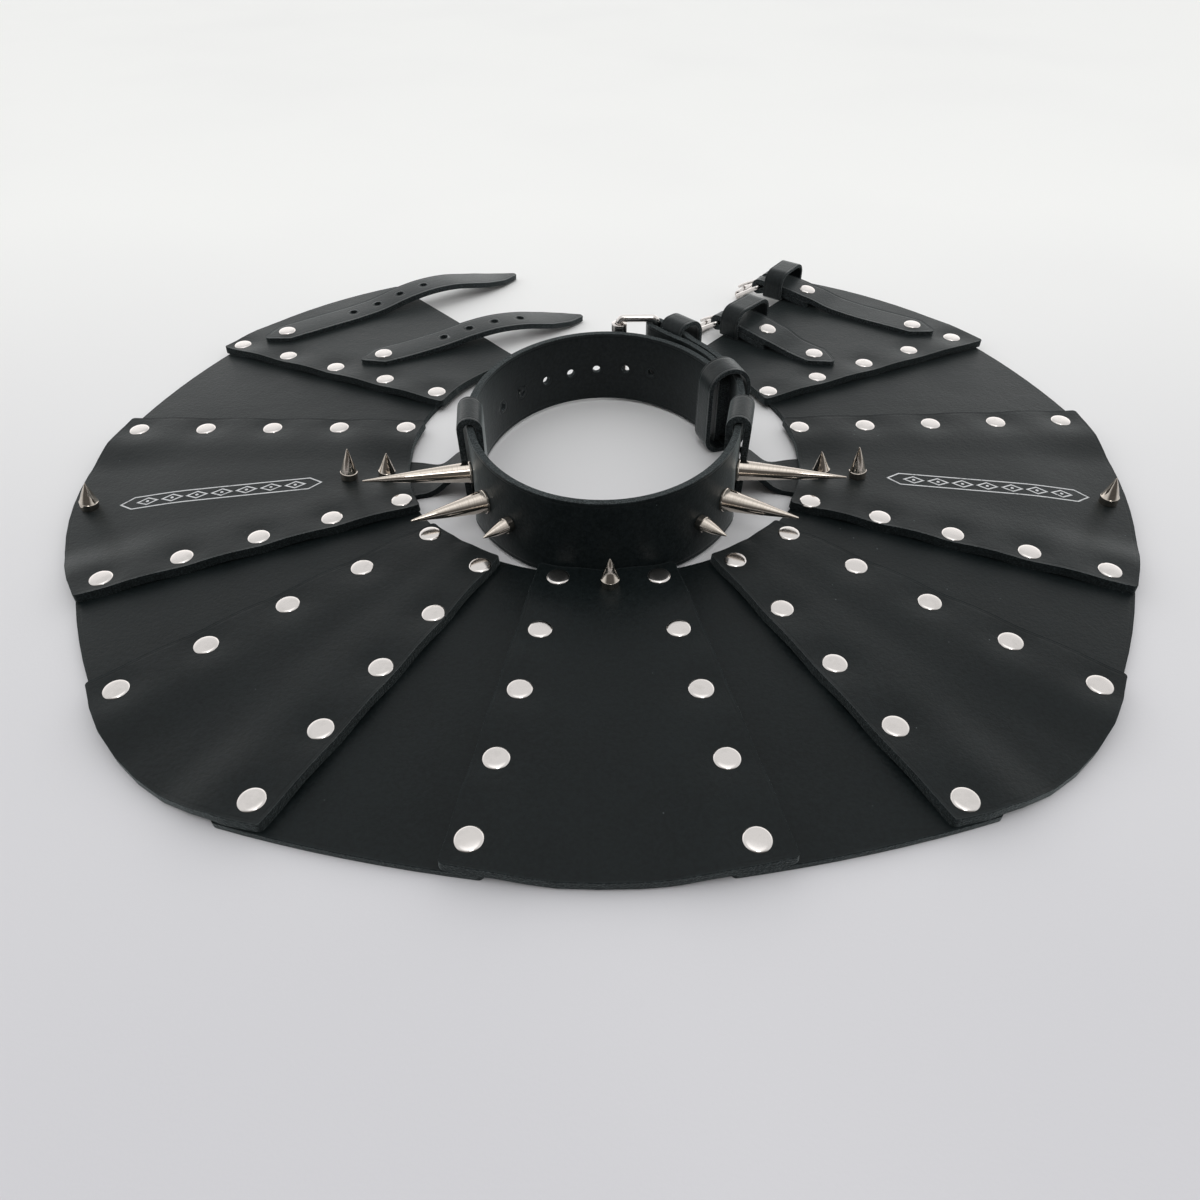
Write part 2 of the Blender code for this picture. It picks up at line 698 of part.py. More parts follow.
def build_collar_spikes():
    a = COLLAR_A + 0.5 * LEATHER
    b = COLLAR_B + 0.5 * LEATHER
    for name, y, radius, length, height, rise in COLLAR_SPIKES:
        angle = math.degrees(math.asin((y - COLLAR_Y) / b))
        lean = max(collar_lean(angle), collar_lean(angle - math.degrees(radius / a)))
        slope = math.atan(lean / (COLLAR_Z[1] - COLLAR_Z[0]))
        off = lean * (COLLAR_Z[1] - height) / (COLLAR_Z[1] - COLLAR_Z[0])
        off += GAP + 0.15 + radius * abs(math.sin(math.radians(rise) - slope))
        point = collar_point(angle, off, a, b)
        outward = collar_normal(angle, a, b)
        foot = 1.0 if length > 20.0 else 3.0
        for side, word in ((1.0, "right"), (-1.0, "left")):
            direction = Vector((side * outward.x, outward.y, math.tan(math.radians(rise))))
            matrix = place((side * point.x, point.y, height), (0, 0, 1), direction)
            whole = name + "_" + word
            turned(whole, cone_profile(radius, length, foot), 16, GORGET, finish_nickel(whole), matrix)


def rectangle_path(low, high, reach, corner):
    """A rounded rectangle from the bar at 0 to the reach, as (along, across) points."""
    return rounded([(0.0, low), (reach, low), (reach, high), (0.0, high)], (corner,) * 4, steps=4)


def build_collar_buckle():
    bar = keeper_point(FOLD_ALONG, FOLD_ACROSS)
    matrix = place((bar.x, bar.y, 0.0), (-1, 0, 0), (0, 0, 1))
    path = [(along, 0.0, height) for along, height in rectangle_path(*BUCKLE_Z, BUCKLE_REACH, BUCKLE_CORNER)]
    wire("collar_buckle_frame", path, BUCKLE_WIRE, True, GORGET, finish_nickel("collar_buckle_frame"), matrix)
    inner, outer = BUCKLE_ROLLER
    low, high = BUCKLE_ROLLER_Z
    profile = ((outer, high), (outer, low), (inner, low), (inner, high))
    turned("collar_buckle_roller", profile, 16, GORGET, finish_nickel("collar_buckle_roller"),
           place((bar.x - BUCKLE_REACH, bar.y, 0.0), (1, 0, 0), (0, 0, 1)), closed=True)
    ring = BUCKLE_WIRE + GAP + BUCKLE_PRONG_WIRE + 0.1
    lift = BUCKLE_ROLLER[1] + BUCKLE_PRONG_WIRE + 0.15
    path = ring_and_shank(ring, lift, BUCKLE_REACH)
    path = [(along, -up, BUCKLE_PRONG_Z) for along, up in path]
    wire("collar_buckle_prong", path, BUCKLE_PRONG_WIRE, False, GORGET, finish_nickel("collar_buckle_prong"),
         matrix, sides=1)


def ring_and_shank(ring, lift, reach):
    """A prong's centre line: a loop round the bar, then a shank lying over the roller."""
    path = []
    for step in range(10):
        angle = math.radians(-30.0 * step)
        path.append((ring * math.cos(angle), ring * math.sin(angle)))
    path.append((0.3 * reach, ring + 0.25 * (lift - ring)))
    path.append((reach, lift))
    path.append((reach + 3.5, lift - 0.3))
    return path


def elevation(name, line, half_thickness, half_width, matrix):
    """A strap seen from the side: a centre line (along, z) given a thickness and a width."""
    points = [Vector(point) for point in line]
    left = []
    right = []
    for index, point in enumerate(points):
        before = points[max(0, index - 1)]
        after = points[min(len(points) - 1, index + 1)]
        heading = (after - before).normalized()
        normal = Vector((-heading.y, heading.x)) * half_thickness
        left.append(tuple(point + normal))
        right.append(tuple(point - normal))
    outline = left + right[::-1]
    return sheet(name, [outline], -half_width, half_width, CUTTERS, None, matrix)


def elevation_matrix(origin, heading_degrees):
    """X along the strap, Y up, Z across it."""
    along = heading_vector(heading_degrees)
    up = Vector((0.0, 0.0, 1.0))
    made = Matrix((along, up, along.cross(up))).transposed().to_4x4()
    made.translation = Vector((origin[0], origin[1] + MANTLE_Y, 0.0)) * MM
    return made


def plan_matrix(origin, heading_degrees):
    return place((origin[0], origin[1] + MANTLE_Y, 0.0), heading_vector(heading_degrees), (0, 0, 1))


def circle(x, y, radius, sides=12):
    return [(x + radius * math.cos(2.0 * math.pi * step / sides),
             y + radius * math.sin(2.0 * math.pi * step / sides)) for step in range(sides)]


def build_tongues():
    for name, origin, heading, taper, tip, holes, line in TONGUES:
        half = TONGUE_HALF
        edge = [(-STRAP_POINT, 0.0), (-2.0, -half), (taper, -half), (taper + 0.55 * (tip - taper), -0.72 * half),
                (tip, -0.18 * half), (tip, 0.18 * half), (taper + 0.55 * (tip - taper), 0.72 * half),
                (taper, half), (-2.0, half)]
        outline = rounded(edge, (3.0, 3.0, 10.0, 12.0, 1.5, 1.5, 12.0, 10.0, 3.0), steps=3)
        plan = [outline] + [circle(hole, 0.0, TONGUE_HOLE) for hole in holes]
        strap = sheet(name, plan, 0.05, 30.0, GORGET, finish_leather(name), plan_matrix(origin, heading))
        smooth = [tuple(point) for point in smooth_path([Vector(point) for point in line], 9.0)]
        side = elevation(name + "_side", smooth, 0.5 * LEATHER, 20.0, elevation_matrix(origin, heading))
        combine(strap, side, "INTERSECT")
        spot = (origin[0], origin[1] + MANTLE_Y, line[0][1] + 0.5 * LEATHER)
        combine(strap, caps(name + "_cap", [spot]), "UNION")


def build_buckle_straps():
    for word, rivet, heading, length, flare, *keeper_sizes in BUCKLE_STRAPS:
        along = heading_vector(heading)
        bar = (rivet[0] + along.x * length, rivet[1] + along.y * length)
        name = "buckle_strap_" + word
        half = STRAP_HALF
        start = -length
        wide = half + flare
        near = [(start - 2.0, -half), (-44.0, -half), (-32.0, -wide), (-12.0, -wide), (-3.0, -half), (8.0, -half)]
        edge = [(start - STRAP_POINT, 0.0), *near, *((u, -w) for u, w in reversed(near))]
        turns = (3.0, 20.0, 20.0, 12.0, 12.0, 0.0) if flare else (3.0, 0.0, 0.0, 0.0, 0.0, 0.0)
        plan = [rounded(edge, (3.0, *turns, *reversed(turns)))]
        strap = sheet(name, plan, 0.05, 30.0, GORGET, finish_leather(name), plan_matrix(bar, heading))
        rest = STRAP_LOWER[-1][1]
        lead = [Vector((start - 20.0, rest)), Vector((start + 6.0, rest))]
        if length > 80.0:
            lead += [Vector((-60.0, rest)), Vector((-48.0, rest + 0.9))]
        else:
            lead += [Vector((-50.0, rest + 0.5))]
        upper = smooth_path(lead + [Vector(point) for point in STRAP_UPPER], 8.0)
        fold = []
        for step in range(1, 9):
            angle = math.radians(90.0 - 20.0 * step)
            fold.append(Vector((STRAP_FOLD_RADIUS * math.cos(angle),
                                STRAP_FOLD_Z + STRAP_FOLD_RADIUS * math.sin(angle))))
        line = upper + fold + [Vector(point) for point in STRAP_LOWER]
        side = elevation(name + "_side", [tuple(point) for point in line], 0.5 * LEATHER, 20.0,
                         elevation_matrix(bar, heading))
        combine(strap, side, "INTERSECT")
        slot = plan_matrix(bar, heading)
        slot.translation.z = STRAP_FOLD_Z * MM
        combine(strap, block(name + "_slot", (10.6, STRAP_SLOT, 14.0), slot), "DIFFERENCE")
        second = (bar[0] + along.x * SECOND_RIVET, bar[1] + along.y * SECOND_RIVET + MANTLE_Y)
        spots = [(rivet[0], rivet[1] + MANTLE_Y, rest + 0.5 * LEATHER),
                 (second[0], second[1], 12.1 + 0.5 * LEATHER)]
        combine(strap, caps(name + "_caps", spots), "UNION")
        build_closure(word, bar, heading, *keeper_sizes)


def build_closure(word, bar, heading, keeper_half, keeper_shift, keeper_top):
    along = heading_vector(heading)
    centre = (bar[0], bar[1] + MANTLE_Y, STRAP_FOLD_Z)
    name = "strap_keeper_" + word
    low = STRAP_KEEPER_Z
    outer = loop_outline(keeper_half, low, keeper_top, STRAP_KEEPER_CORNER, 2.0)
    inner = loop_outline(keeper_half - STRAP_KEEPER_WALL, low + 1.8, keeper_top - STRAP_KEEPER_WALL,
                         STRAP_KEEPER_CORNER - STRAP_KEEPER_WALL, 0.3)
    far_side = heading_vector(heading - 90.0) * keeper_shift
    point = Vector((centre[0] + far_side.x, centre[1] + far_side.y))
    first, last = STRAP_KEEPER_U
    matrix = loop_matrix(point, heading)
    sense = 1.0 if Vector(matrix.col[2][:3]).dot(along) > 0.0 else -1.0
    reach = sorted((sense * first, sense * last))
    sheet(name, [outer, inner], reach[0], reach[1], GORGET, finish_leather(name), matrix)
    down = Vector((0.0, 0.0, -1.0))
    reach_axis = along * math.cos(CLOSURE_TILT) + down * math.sin(CLOSURE_TILT)
    up = along * math.sin(CLOSURE_TILT) - down * math.cos(CLOSURE_TILT)
    matrix = place(centre, reach_axis, up)
    path = [(u, w, 0.0)
            for u, w in rectangle_path(-CLOSURE_HALF, CLOSURE_HALF, CLOSURE_REACH, CLOSURE_CORNER)]
    name = "strap_buckle_" + word
    wire(name, path, CLOSURE_WIRE, True, GORGET, finish_nickel(name), matrix, sides=2)
    name = "strap_roller_" + word
    inner_radius, outer_radius = CLOSURE_ROLLER
    half = CLOSURE_ROLLER_HALF
    profile = ((outer_radius, half), (outer_radius, -half), (inner_radius, -half), (inner_radius, half))
    spot = Vector(centre) + reach_axis * CLOSURE_REACH
    turned(name, profile, 16, GORGET, finish_nickel(name), place(spot, reach_axis, up.cross(reach_axis)),
           closed=True)
    name = "strap_prong_" + word
    lift = outer_radius + CLOSURE_PRONG_WIRE + 0.15
    path = [(u, 0.0, h) for u, h in ring_and_shank(CLOSURE_PRONG_RING, lift, CLOSURE_REACH)]
    wire(name, path, CLOSURE_PRONG_WIRE, False, GORGET, finish_nickel(name), matrix, sides=1)


build_mantle()
build_studs()
build_collar_band()
build_collar_keepers()
build_links()
build_collar_spikes()
build_collar_buckle()
build_tongues()
build_buckle_straps()
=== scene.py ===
"""Looks of the leather gorget: riveted plates, collar, spikes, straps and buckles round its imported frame."""

from __future__ import annotations

import logging
import math
from dataclasses import dataclass, field
from enum import Enum
from typing import Callable, NamedTuple, Optional, Sequence, Union

import bmesh
import bpy
import numpy as np
from mathutils import Matrix, Vector

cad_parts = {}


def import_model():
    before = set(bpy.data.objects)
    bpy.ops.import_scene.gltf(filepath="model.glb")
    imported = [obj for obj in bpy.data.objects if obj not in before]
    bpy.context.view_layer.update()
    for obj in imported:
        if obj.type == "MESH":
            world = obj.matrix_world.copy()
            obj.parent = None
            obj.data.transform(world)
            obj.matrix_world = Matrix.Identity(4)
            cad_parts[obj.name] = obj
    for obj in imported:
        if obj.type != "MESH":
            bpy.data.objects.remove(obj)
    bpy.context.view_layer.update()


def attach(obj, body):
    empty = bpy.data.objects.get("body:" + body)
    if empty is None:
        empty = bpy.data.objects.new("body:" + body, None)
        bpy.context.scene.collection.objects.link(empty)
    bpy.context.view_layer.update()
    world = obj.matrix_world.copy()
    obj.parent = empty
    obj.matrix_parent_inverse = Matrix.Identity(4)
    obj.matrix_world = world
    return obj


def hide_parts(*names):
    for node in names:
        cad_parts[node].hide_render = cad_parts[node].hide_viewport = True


LOG = logging.getLogger("gorget")

MM = 0.001
Point = tuple[float, float]
Colour = tuple[float, float, float]
Setting = Union[str, float, bool, int]
Sockets = dict[Union[int, str], object]

# The mantle's centre is a little behind the middle of the whole piece.
MANTLE_Y = 18.6
# Between a prong and the roller that it lies over, in millimetres.
PRONG_CLEARANCE = 0.15
ROOT = "gorget"


class Side(Enum):
    """The wearer's side as the gorget lies, seen from the front plate."""

    RIGHT = 1.0
    LEFT = -1.0

    @property
    def word(self) -> str:
        """The side's name in piece names."""
        return self.name.lower()


class Slot(Enum):
    """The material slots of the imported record."""

    LEATHER = "leather"
    NICKEL = "nickel"


# ---------------------------------------------------------------------- materials


class Value:
    """A shader socket whose arithmetic adds Math nodes."""

    def __init__(self, graph: "Graph", socket: bpy.types.NodeSocket) -> None:
        """Wraps one output socket of a graph."""
        self.graph = graph
        self.socket = socket

    def _join(self, operation: str, first: "Operand", second: "Operand") -> "Value":
        """A Math node on two operands."""
        return self.graph.node("ShaderNodeMath", {"operation": operation}, {0: first, 1: second})

    def __add__(self, other: "Operand") -> "Value":
        """self + other."""
        return self._join("ADD", self, other)

    __radd__ = __add__

    def __sub__(self, other: "Operand") -> "Value":
        """self - other."""
        return self._join("SUBTRACT", self, other)

    def __rsub__(self, other: "Operand") -> "Value":
        """other - self."""
        return self._join("SUBTRACT", other, self)

    def __mul__(self, other: "Operand") -> "Value":
        """self * other."""
        return self._join("MULTIPLY", self, other)

    __rmul__ = __mul__

    def __truediv__(self, other: "Operand") -> "Value":
        """self / other."""
        return self._join("DIVIDE", self, other)

    def __rtruediv__(self, other: "Operand") -> "Value":
        """other / self."""
        return self._join("DIVIDE", other, self)

    def __neg__(self) -> "Value":
        """-self."""
        return self._join("SUBTRACT", 0.0, self)

    def __abs__(self) -> "Value":
        """The size of self."""
        return self.graph.node("ShaderNodeMath", {"operation": "ABSOLUTE"}, {0: self})

    def clamped(self) -> "Value":
        """self held between 0 and 1."""
        return self.graph.node("ShaderNodeMath", {"operation": "ADD", "use_clamp": True}, {0: self, 1: 0.0})


Operand = Union[Value, float]


class Noise(NamedTuple):
    """A noise's scale per metre, its detail and its roughness."""

    scale: float
    detail: float = 2.0
    roughness: float = 0.5


class Ramp(NamedTuple):
    """Where a share starts to rise, and how fast."""

    start: float
    gain: float


class Graph:
    """The node tree of a material or a world, built one node at a time."""

    def __init__(self, owner: Union[bpy.types.Material, bpy.types.World]) -> None:
        """Starts with an empty tree.

        Args:
            owner: the material or world whose tree it is.
        """
        owner.use_nodes = True
        self.owner = owner
        self.tree = owner.node_tree
        self.tree.nodes.clear()

    @classmethod
    def material(cls, name: str) -> "Graph":
        """The tree of a new material."""
        return cls(bpy.data.materials.new(name))

    def node(
        self,
        kind: str,
        settings: Optional[dict[str, Setting]] = None,
        inputs: Optional[Sockets] = None,
        output: Optional[Union[int, str]] = 0,
    ) -> Optional[Value]:
        """Adds a node.

        Args:
            kind: the node's type.
            settings: its own settings, set before its sockets.
            inputs: values or links for its sockets.
            output: the socket that is handed back.

        Returns:
            The chosen output as a Value.
        """
        made = self.tree.nodes.new(kind)
        for name, setting in (settings or {}).items():
            setattr(made, name, setting)
        for key, content in (inputs or {}).items():
            if isinstance(content, Value):
                self.tree.links.new(content.socket, made.inputs[key])
            else:
                made.inputs[key].default_value = content
        return None if output is None else Value(self, made.outputs[output])

    def blend(self, share: Operand, first: object, second: object) -> Value:
        """A colour between two others by a share from 0 to 1."""
        colours = [paint if isinstance(paint, Value) else (*paint, 1.0) for paint in (first, second)]
        return self.node("ShaderNodeMix", {"data_type": "RGBA"}, {0: share, 6: colours[0], 7: colours[1]}, 2)

    def ramp(self, value: Value, ramp: Ramp) -> Value:
        """Nothing up to the start, then rising by the gain to a full share."""
        return ((value - ramp.start) * ramp.gain).clamped()

    def noise(self, place: Value, noise: Noise) -> Value:
        """Noise from 0 to 1."""
        inputs = {"Vector": place, "Scale": noise.scale, "Detail": noise.detail, "Roughness": noise.roughness}
        return self.node("ShaderNodeTexNoise", None, inputs)

    def bump(self, height: Value, depth: float, under: Optional[Value] = None) -> Value:
        """A relief of that depth in metres, on top of another where one is given.

        Args:
            height: the relief.
            depth: its depth in metres.
            under: the relief that it lies on.

        Returns:
            The normal that it gives.
        """
        inputs: Sockets = {"Height": height, "Distance": depth, "Strength": 1.0}
        if under is not None:
            inputs["Normal"] = under
        return self.node("ShaderNodeBump", None, inputs)

    def surface(
        self, base: Value, rough: Operand, relief: Value, constants: Optional[Sockets] = None
    ) -> Value:
        """A Principled shader of a colour, a roughness and a relief, with other sockets set to constants.

        Args:
            base: the colour.
            rough: the roughness.
            relief: the relief.
            constants: values for other sockets.

        Returns:
            The shader.
        """
        sockets = {"Base Color": base, "Roughness": rough, "Normal": relief, **(constants or {})}
        return self.node("ShaderNodeBsdfPrincipled", None, sockets)

    def close(self, shader: Value) -> bpy.types.Material:
        """Links the finished shader to the output and hands back the material or world.

        Args:
            shader: the finished shader.

        Returns:
            The material or world.
        """
        kind = "World" if isinstance(self.owner, bpy.types.World) else "Material"
        self.node("ShaderNodeOutput" + kind, None, {"Surface": shader}, None)
        return self.owner


@dataclass(frozen=True)
class LeatherFinish:
    """Smooth black satin leather whose cut edges are raw and a little fuzzy."""

    name: str
    dark: Colour = (0.0012, 0.0030, 0.0034)
    light: Colour = (0.0036, 0.0066, 0.0072)
    cut: Colour = (0.0050, 0.0076, 0.0082)
    fibre: Colour = (0.023, 0.031, 0.033)
    dust: Colour = (0.14, 0.16, 0.165)
    roughness: float = 0.40
    groove: float = 0.12
    cut_roughness: float = 0.9
    crease: float = 1.5
    specular: float = 0.17
    sheen: float = 0.30
    sheen_roughness: float = 0.35
    sheen_tint: Colour = (0.90, 1.0, 1.0)
    grain_noise: Noise = Noise(620.0, 4.0, 0.68)
    mottle_noise: Noise = Noise(42.0, 3.0, 0.55)
    cloud_noise: Noise = Noise(11.0, 1.0)
    fibre_noise: Noise = Noise(1400.0, 2.0, 0.7)
    fibre_ramp: Ramp = Ramp(0.44, 4.0)
    tone_mottle: float = 1.1
    tone_grain: float = 3.6
    rough_mottle: float = 0.12
    rough_cloud: float = 0.14
    rough_grain: float = 0.22
    speck_scale: float = 105.0
    speck_size: float = 0.034
    speck_gain: float = 70.0
    dust_ramp: Ramp = Ramp(0.47, 7.0)
    dust_share: float = 0.7
    cut_width: float = 0.42
    # These settings place a lighter line along the top of each cut edge: part real wear, part painted
    # highlight.
    worn_at: float = 0.55
    worn_width: float = 0.5
    worn_ramp: Ramp = Ramp(0.42, 4.0)
    worn_share: float = 0.22
    groove_width: float = 0.55
    groove_dark: Colour = (0.0022, 0.0026, 0.0028)
    grain_depth: float = 0.00012
    groove_depth: float = 0.00025
    fibre_depth: float = 0.0004

    def make(self) -> bpy.types.Material:
        """Builds the material; the rim attribute is the distance to the cut edge in millimetres.

        Returns:
            The material.
        """
        graph = Graph.material(self.name)
        place = graph.node("ShaderNodeTexCoord", output="Object")
        rim = graph.node("ShaderNodeAttribute", {"attribute_name": "rim"}, output="Fac")
        grain = graph.noise(place, self.grain_noise)
        mottle = graph.noise(place, self.mottle_noise)
        cloud = graph.noise(place, self.cloud_noise)
        fibres = graph.noise(place, self.fibre_noise)
        cut = (1.0 - rim / self.cut_width).clamped()
        # worn: the lighter line along the top of each cut edge, broken up by the mottle; part real wear, part
        # painted highlight.
        worn = (1.0 - abs(rim - self.worn_at) / self.worn_width).clamped()
        worn = worn * graph.ramp(mottle, self.worn_ramp)
        groove = (1.0 - abs(rim - self.crease) / self.groove_width).clamped() * self.groove
        cells = {"Vector": place, "Scale": self.speck_scale, "Randomness": 1.0}
        specks = graph.node("ShaderNodeTexVoronoi", {"feature": "F1"}, cells, "Distance")
        dusty = ((self.speck_size - specks) * self.speck_gain).clamped()
        dusty = dusty * graph.ramp(cloud, self.dust_ramp) * self.dust_share
        tone = ((mottle - 0.5) * self.tone_mottle + (grain - 0.5) * self.tone_grain + 0.5).clamped()
        base = graph.blend(tone, self.dark, self.light)
        base = graph.blend(groove, base, self.groove_dark)
        raw = graph.blend(graph.ramp(fibres, self.fibre_ramp), self.cut, self.fibre)
        base = graph.blend(worn * self.worn_share, base, self.fibre)
        base = graph.blend(cut, base, raw)
        base = graph.blend(dusty, base, self.dust)
        rough = self.roughness + (mottle - 0.5) * self.rough_mottle
        rough = rough + (cloud - 0.5) * self.rough_cloud + (grain - 0.5) * self.rough_grain
        rough = (rough + cut * (self.cut_roughness - self.roughness)).clamped()
        relief = graph.bump(grain * (1.0 - cut), self.grain_depth)
        relief = graph.bump(mottle - groove, self.groove_depth, relief)
        relief = graph.bump(fibres * cut, self.fibre_depth, relief)
        gloss = {
            "Specular IOR Level": self.specular,
            "Sheen Weight": self.sheen,
            "Sheen Roughness": self.sheen_roughness,
            "Sheen Tint": (*self.sheen_tint, 1.0),
        }
        return graph.close(graph.surface(base, rough, relief, gloss))


@dataclass(frozen=True)
class NickelFinish:
    """Polished nickel plate with a little haze and hair-fine polishing marks."""

    name: str
    bright: Colour = (0.70, 0.665, 0.64)
    dull: Colour = (0.60, 0.57, 0.545)
    roughness: float = 0.13
    haze_noise: Noise = Noise(210.0, 2.0, 0.6)
    haze_ramp: Ramp = Ramp(0.48, 2.2)
    mark_noise: Noise = Noise(1900.0, 2.0, 0.7)
    rough_haze: float = 0.08
    rough_marks: float = 0.06
    mark_depth: float = 0.0000015

    def make(self) -> bpy.types.Material:
        """Builds the material.

        Returns:
            The material.
        """
        graph = Graph.material(self.name)
        place = graph.node("ShaderNodeTexCoord", output="Object")
        haze = graph.noise(place, self.haze_noise)
        marks = graph.noise(place, self.mark_noise)
        base = graph.blend(graph.ramp(haze, self.haze_ramp), self.bright, self.dull)
        rough = self.roughness + (haze - 0.5) * self.rough_haze + (marks - 0.5) * self.rough_marks
        rough = rough.clamped()
        relief = graph.bump(marks, self.mark_depth)
        return graph.close(graph.surface(base, rough, relief, {"Metallic": 1.0}))


@dataclass(frozen=True)
class TurnedFinish:
    """Warm nickel on turned spikes, with the fine rings of the lathe round them."""

    name: str
    bright: Colour = (0.57, 0.515, 0.455)
    dull: Colour = (0.40, 0.35, 0.30)
    roughness: float = 0.09
    rings: Colour = (5.0, 2.4, 1.0)
    ring_noise: Noise = Noise(1.0, 3.0, 0.6)
    ring_ramp: Ramp = Ramp(0.45, 2.6)
    rough_rings: float = 0.14
    ring_depth: float = 0.000006

    def make(self) -> bpy.types.Material:
        """Builds the material; the piece's own map runs round the spike and up it in millimetres.

        Returns:
            The material.
        """
        graph = Graph.material(self.name)
        turned = graph.node("ShaderNodeUVMap", {"uv_map": "turned"}, output="UV")
        stretched = graph.node("ShaderNodeVectorMath", {"operation": "MULTIPLY"}, {0: turned, 1: self.rings})
        ring = graph.noise(stretched, self.ring_noise)
        base = graph.blend(graph.ramp(ring, self.ring_ramp), self.bright, self.dull)
        rough = (self.roughness + (ring - 0.5) * self.rough_rings).clamped()
        relief = graph.bump(ring, self.ring_depth)
        return graph.close(graph.surface(base, rough, relief, {"Metallic": 1.0}))


@dataclass(frozen=True)
class PaintFinish:
    """White line paint printed on the leather, worn thin in places."""

    name: str
    fresh: Colour = (0.62, 0.63, 0.64)
    worn: Colour = (0.16, 0.165, 0.17)
    wear_noise: Noise = Noise(420.0, 4.0, 0.7)
    wear_ramp: Ramp = Ramp(0.56, 6.0)
    roughness: float = 0.5
    rough_wear: float = 0.3
    depth: float = 0.00002

    def make(self) -> bpy.types.Material:
        """Builds the material.

        Returns:
            The material.
        """
        graph = Graph.material(self.name)
        place = graph.node("ShaderNodeTexCoord", output="Object")
        wear = graph.noise(place, self.wear_noise)
        base = graph.blend(graph.ramp(wear, self.wear_ramp), self.fresh, self.worn)
        rough = self.roughness + (wear - 0.5) * self.rough_wear
        relief = graph.bump(wear, self.depth)
        return graph.close(graph.surface(base, rough, relief))


@dataclass(frozen=True)
class SurfaceFinish:
    """The pale surface that the gorget lies on, a little cooler and darker towards the front through painted
    shade.
    """

    name: str = "pale_surface"
    far: Colour = (0.930, 0.930, 0.912)
    # near is painted shade: the cooler, darker colour towards the front stands in for the shadow that falls
    # there.
    near: Colour = (0.615, 0.610, 0.635)
    wash: Colour = (0.80, 0.79, 0.80)
    near_y: float = -0.36
    span: float = 0.76
    cloud_noise: Noise = Noise(3.2)
    cloud_ramp: Ramp = Ramp(0.45, 1.2)
    cloud_share: float = 0.5
    nap_noise: Noise = Noise(900.0)
    nap_depth: float = 0.00003
    roughness: float = 0.9

    def make(self) -> bpy.types.Material:
        """Builds the material.

        Returns:
            The material.
        """
        graph = Graph.material(self.name)
        place = graph.node("ShaderNodeTexCoord", output="Object")
        back = graph.node("ShaderNodeSeparateXYZ", None, {0: place}, "Y")
        run = {0: (back - self.near_y) / self.span}
        share = graph.node("ShaderNodeMapRange", {"interpolation_type": "SMOOTHSTEP"}, run)
        cloud = graph.noise(place, self.cloud_noise)
        nap = graph.noise(place, self.nap_noise)
        # Painted shade: the colour runs from the near shade at the front to the far colour behind.
        base = graph.blend(share, self.near, self.far)
        base = graph.blend(graph.ramp(cloud, self.cloud_ramp) * self.cloud_share, base, self.wash)
        relief = graph.bump(nap, self.nap_depth)
        return graph.close(graph.surface(base, self.roughness, relief))


# ---------------------------------------------------------------------- plan shapes


def heading_vector(degrees: float) -> Vector:
    """A level direction at that angle from +X."""
    angle = math.radians(degrees)
    return Vector((math.cos(angle), math.sin(angle), 0.0))


def polar(radius: float, degrees: float, side: float = 1.0) -> Point:
    """A mantle point: degrees run from the front towards the side given."""
    angle = math.radians(degrees)
    return (side * radius * math.sin(angle), MANTLE_Y - radius * math.cos(angle))


def arc_points(start: Point, end: Point, side: float, pitch: float = 3.0) -> list[Point]:
    """Points from one (radius, angle) to another, the radius changing evenly.

    Args:
        start: the first radius and angle.
        end: the last.
        side: 1 or -1, the side of the mantle.
        pitch: degrees from point to point.

    Returns:
        The points in order.
    """
    count = max(2, math.ceil(abs(end[1] - start[1]) / pitch))
    made = []
    for step in range(count + 1):
        part = step / count
        radius = start[0] + (end[0] - start[0]) * part
        made.append(polar(radius, start[1] + (end[1] - start[1]) * part, side))
    return made


def bowed_points(start: Point, middle: Point, end: Point, side: float, pitch: float = 3.0) -> list[Point]:
    """An edge through three (radius, angle) points, its radius following a parabola.

    Args:
        start: the first radius and angle.
        middle: one between them.
        end: the last.
        side: 1 or -1, the side of the mantle.
        pitch: degrees from point to point.

    Returns:
        The points in order.
    """
    count = max(2, math.ceil(abs(end[1] - start[1]) / pitch))
    made = []
    for step in range(count + 1):
        angle = start[1] + (end[1] - start[1]) * step / count
        radius = 0.0
        for point, one, other in ((start, middle, end), (middle, start, end), (end, start, middle)):
            share = (angle - one[1]) * (angle - other[1]) / ((point[1] - one[1]) * (point[1] - other[1]))
            radius += point[0] * share
        made.append(polar(radius, angle, side))
    return made


def rounded(points: Sequence[Point], radii: Sequence[float], steps: int = 5) -> list[Point]:
    """Rounds the corners of a closed outline; a corner with no radius stays as it is.

    Args:
        points: the corners.
        radii: a radius for each corner.
        steps: steps round each corner.

    Returns:
        The new outline.
    """
    made: list[Point] = []
    count = len(points)
    for index, radius in enumerate(radii):
        corner = Vector(points[index])
        if radius <= 0.0:
            made.append(tuple(corner))
            continue
        back = (Vector(points[index - 1]) - corner).normalized()
        ahead = (Vector(points[(index + 1) % count]) - corner).normalized()
        half = 0.5 * back.angle(ahead)
        reach = radius / math.tan(half)
        centre = corner + (back + ahead).normalized() * (radius / math.sin(half))
        start = corner + back * reach - centre
        turn = start.angle_signed(corner + ahead * reach - centre)
        for step in range(steps + 1):
            angle = -turn * step / steps
            made.append((centre.x + start.x * math.cos(angle) - start.y * math.sin(angle),
                         centre.y + start.x * math.sin(angle) + start.y * math.cos(angle)))
    return made


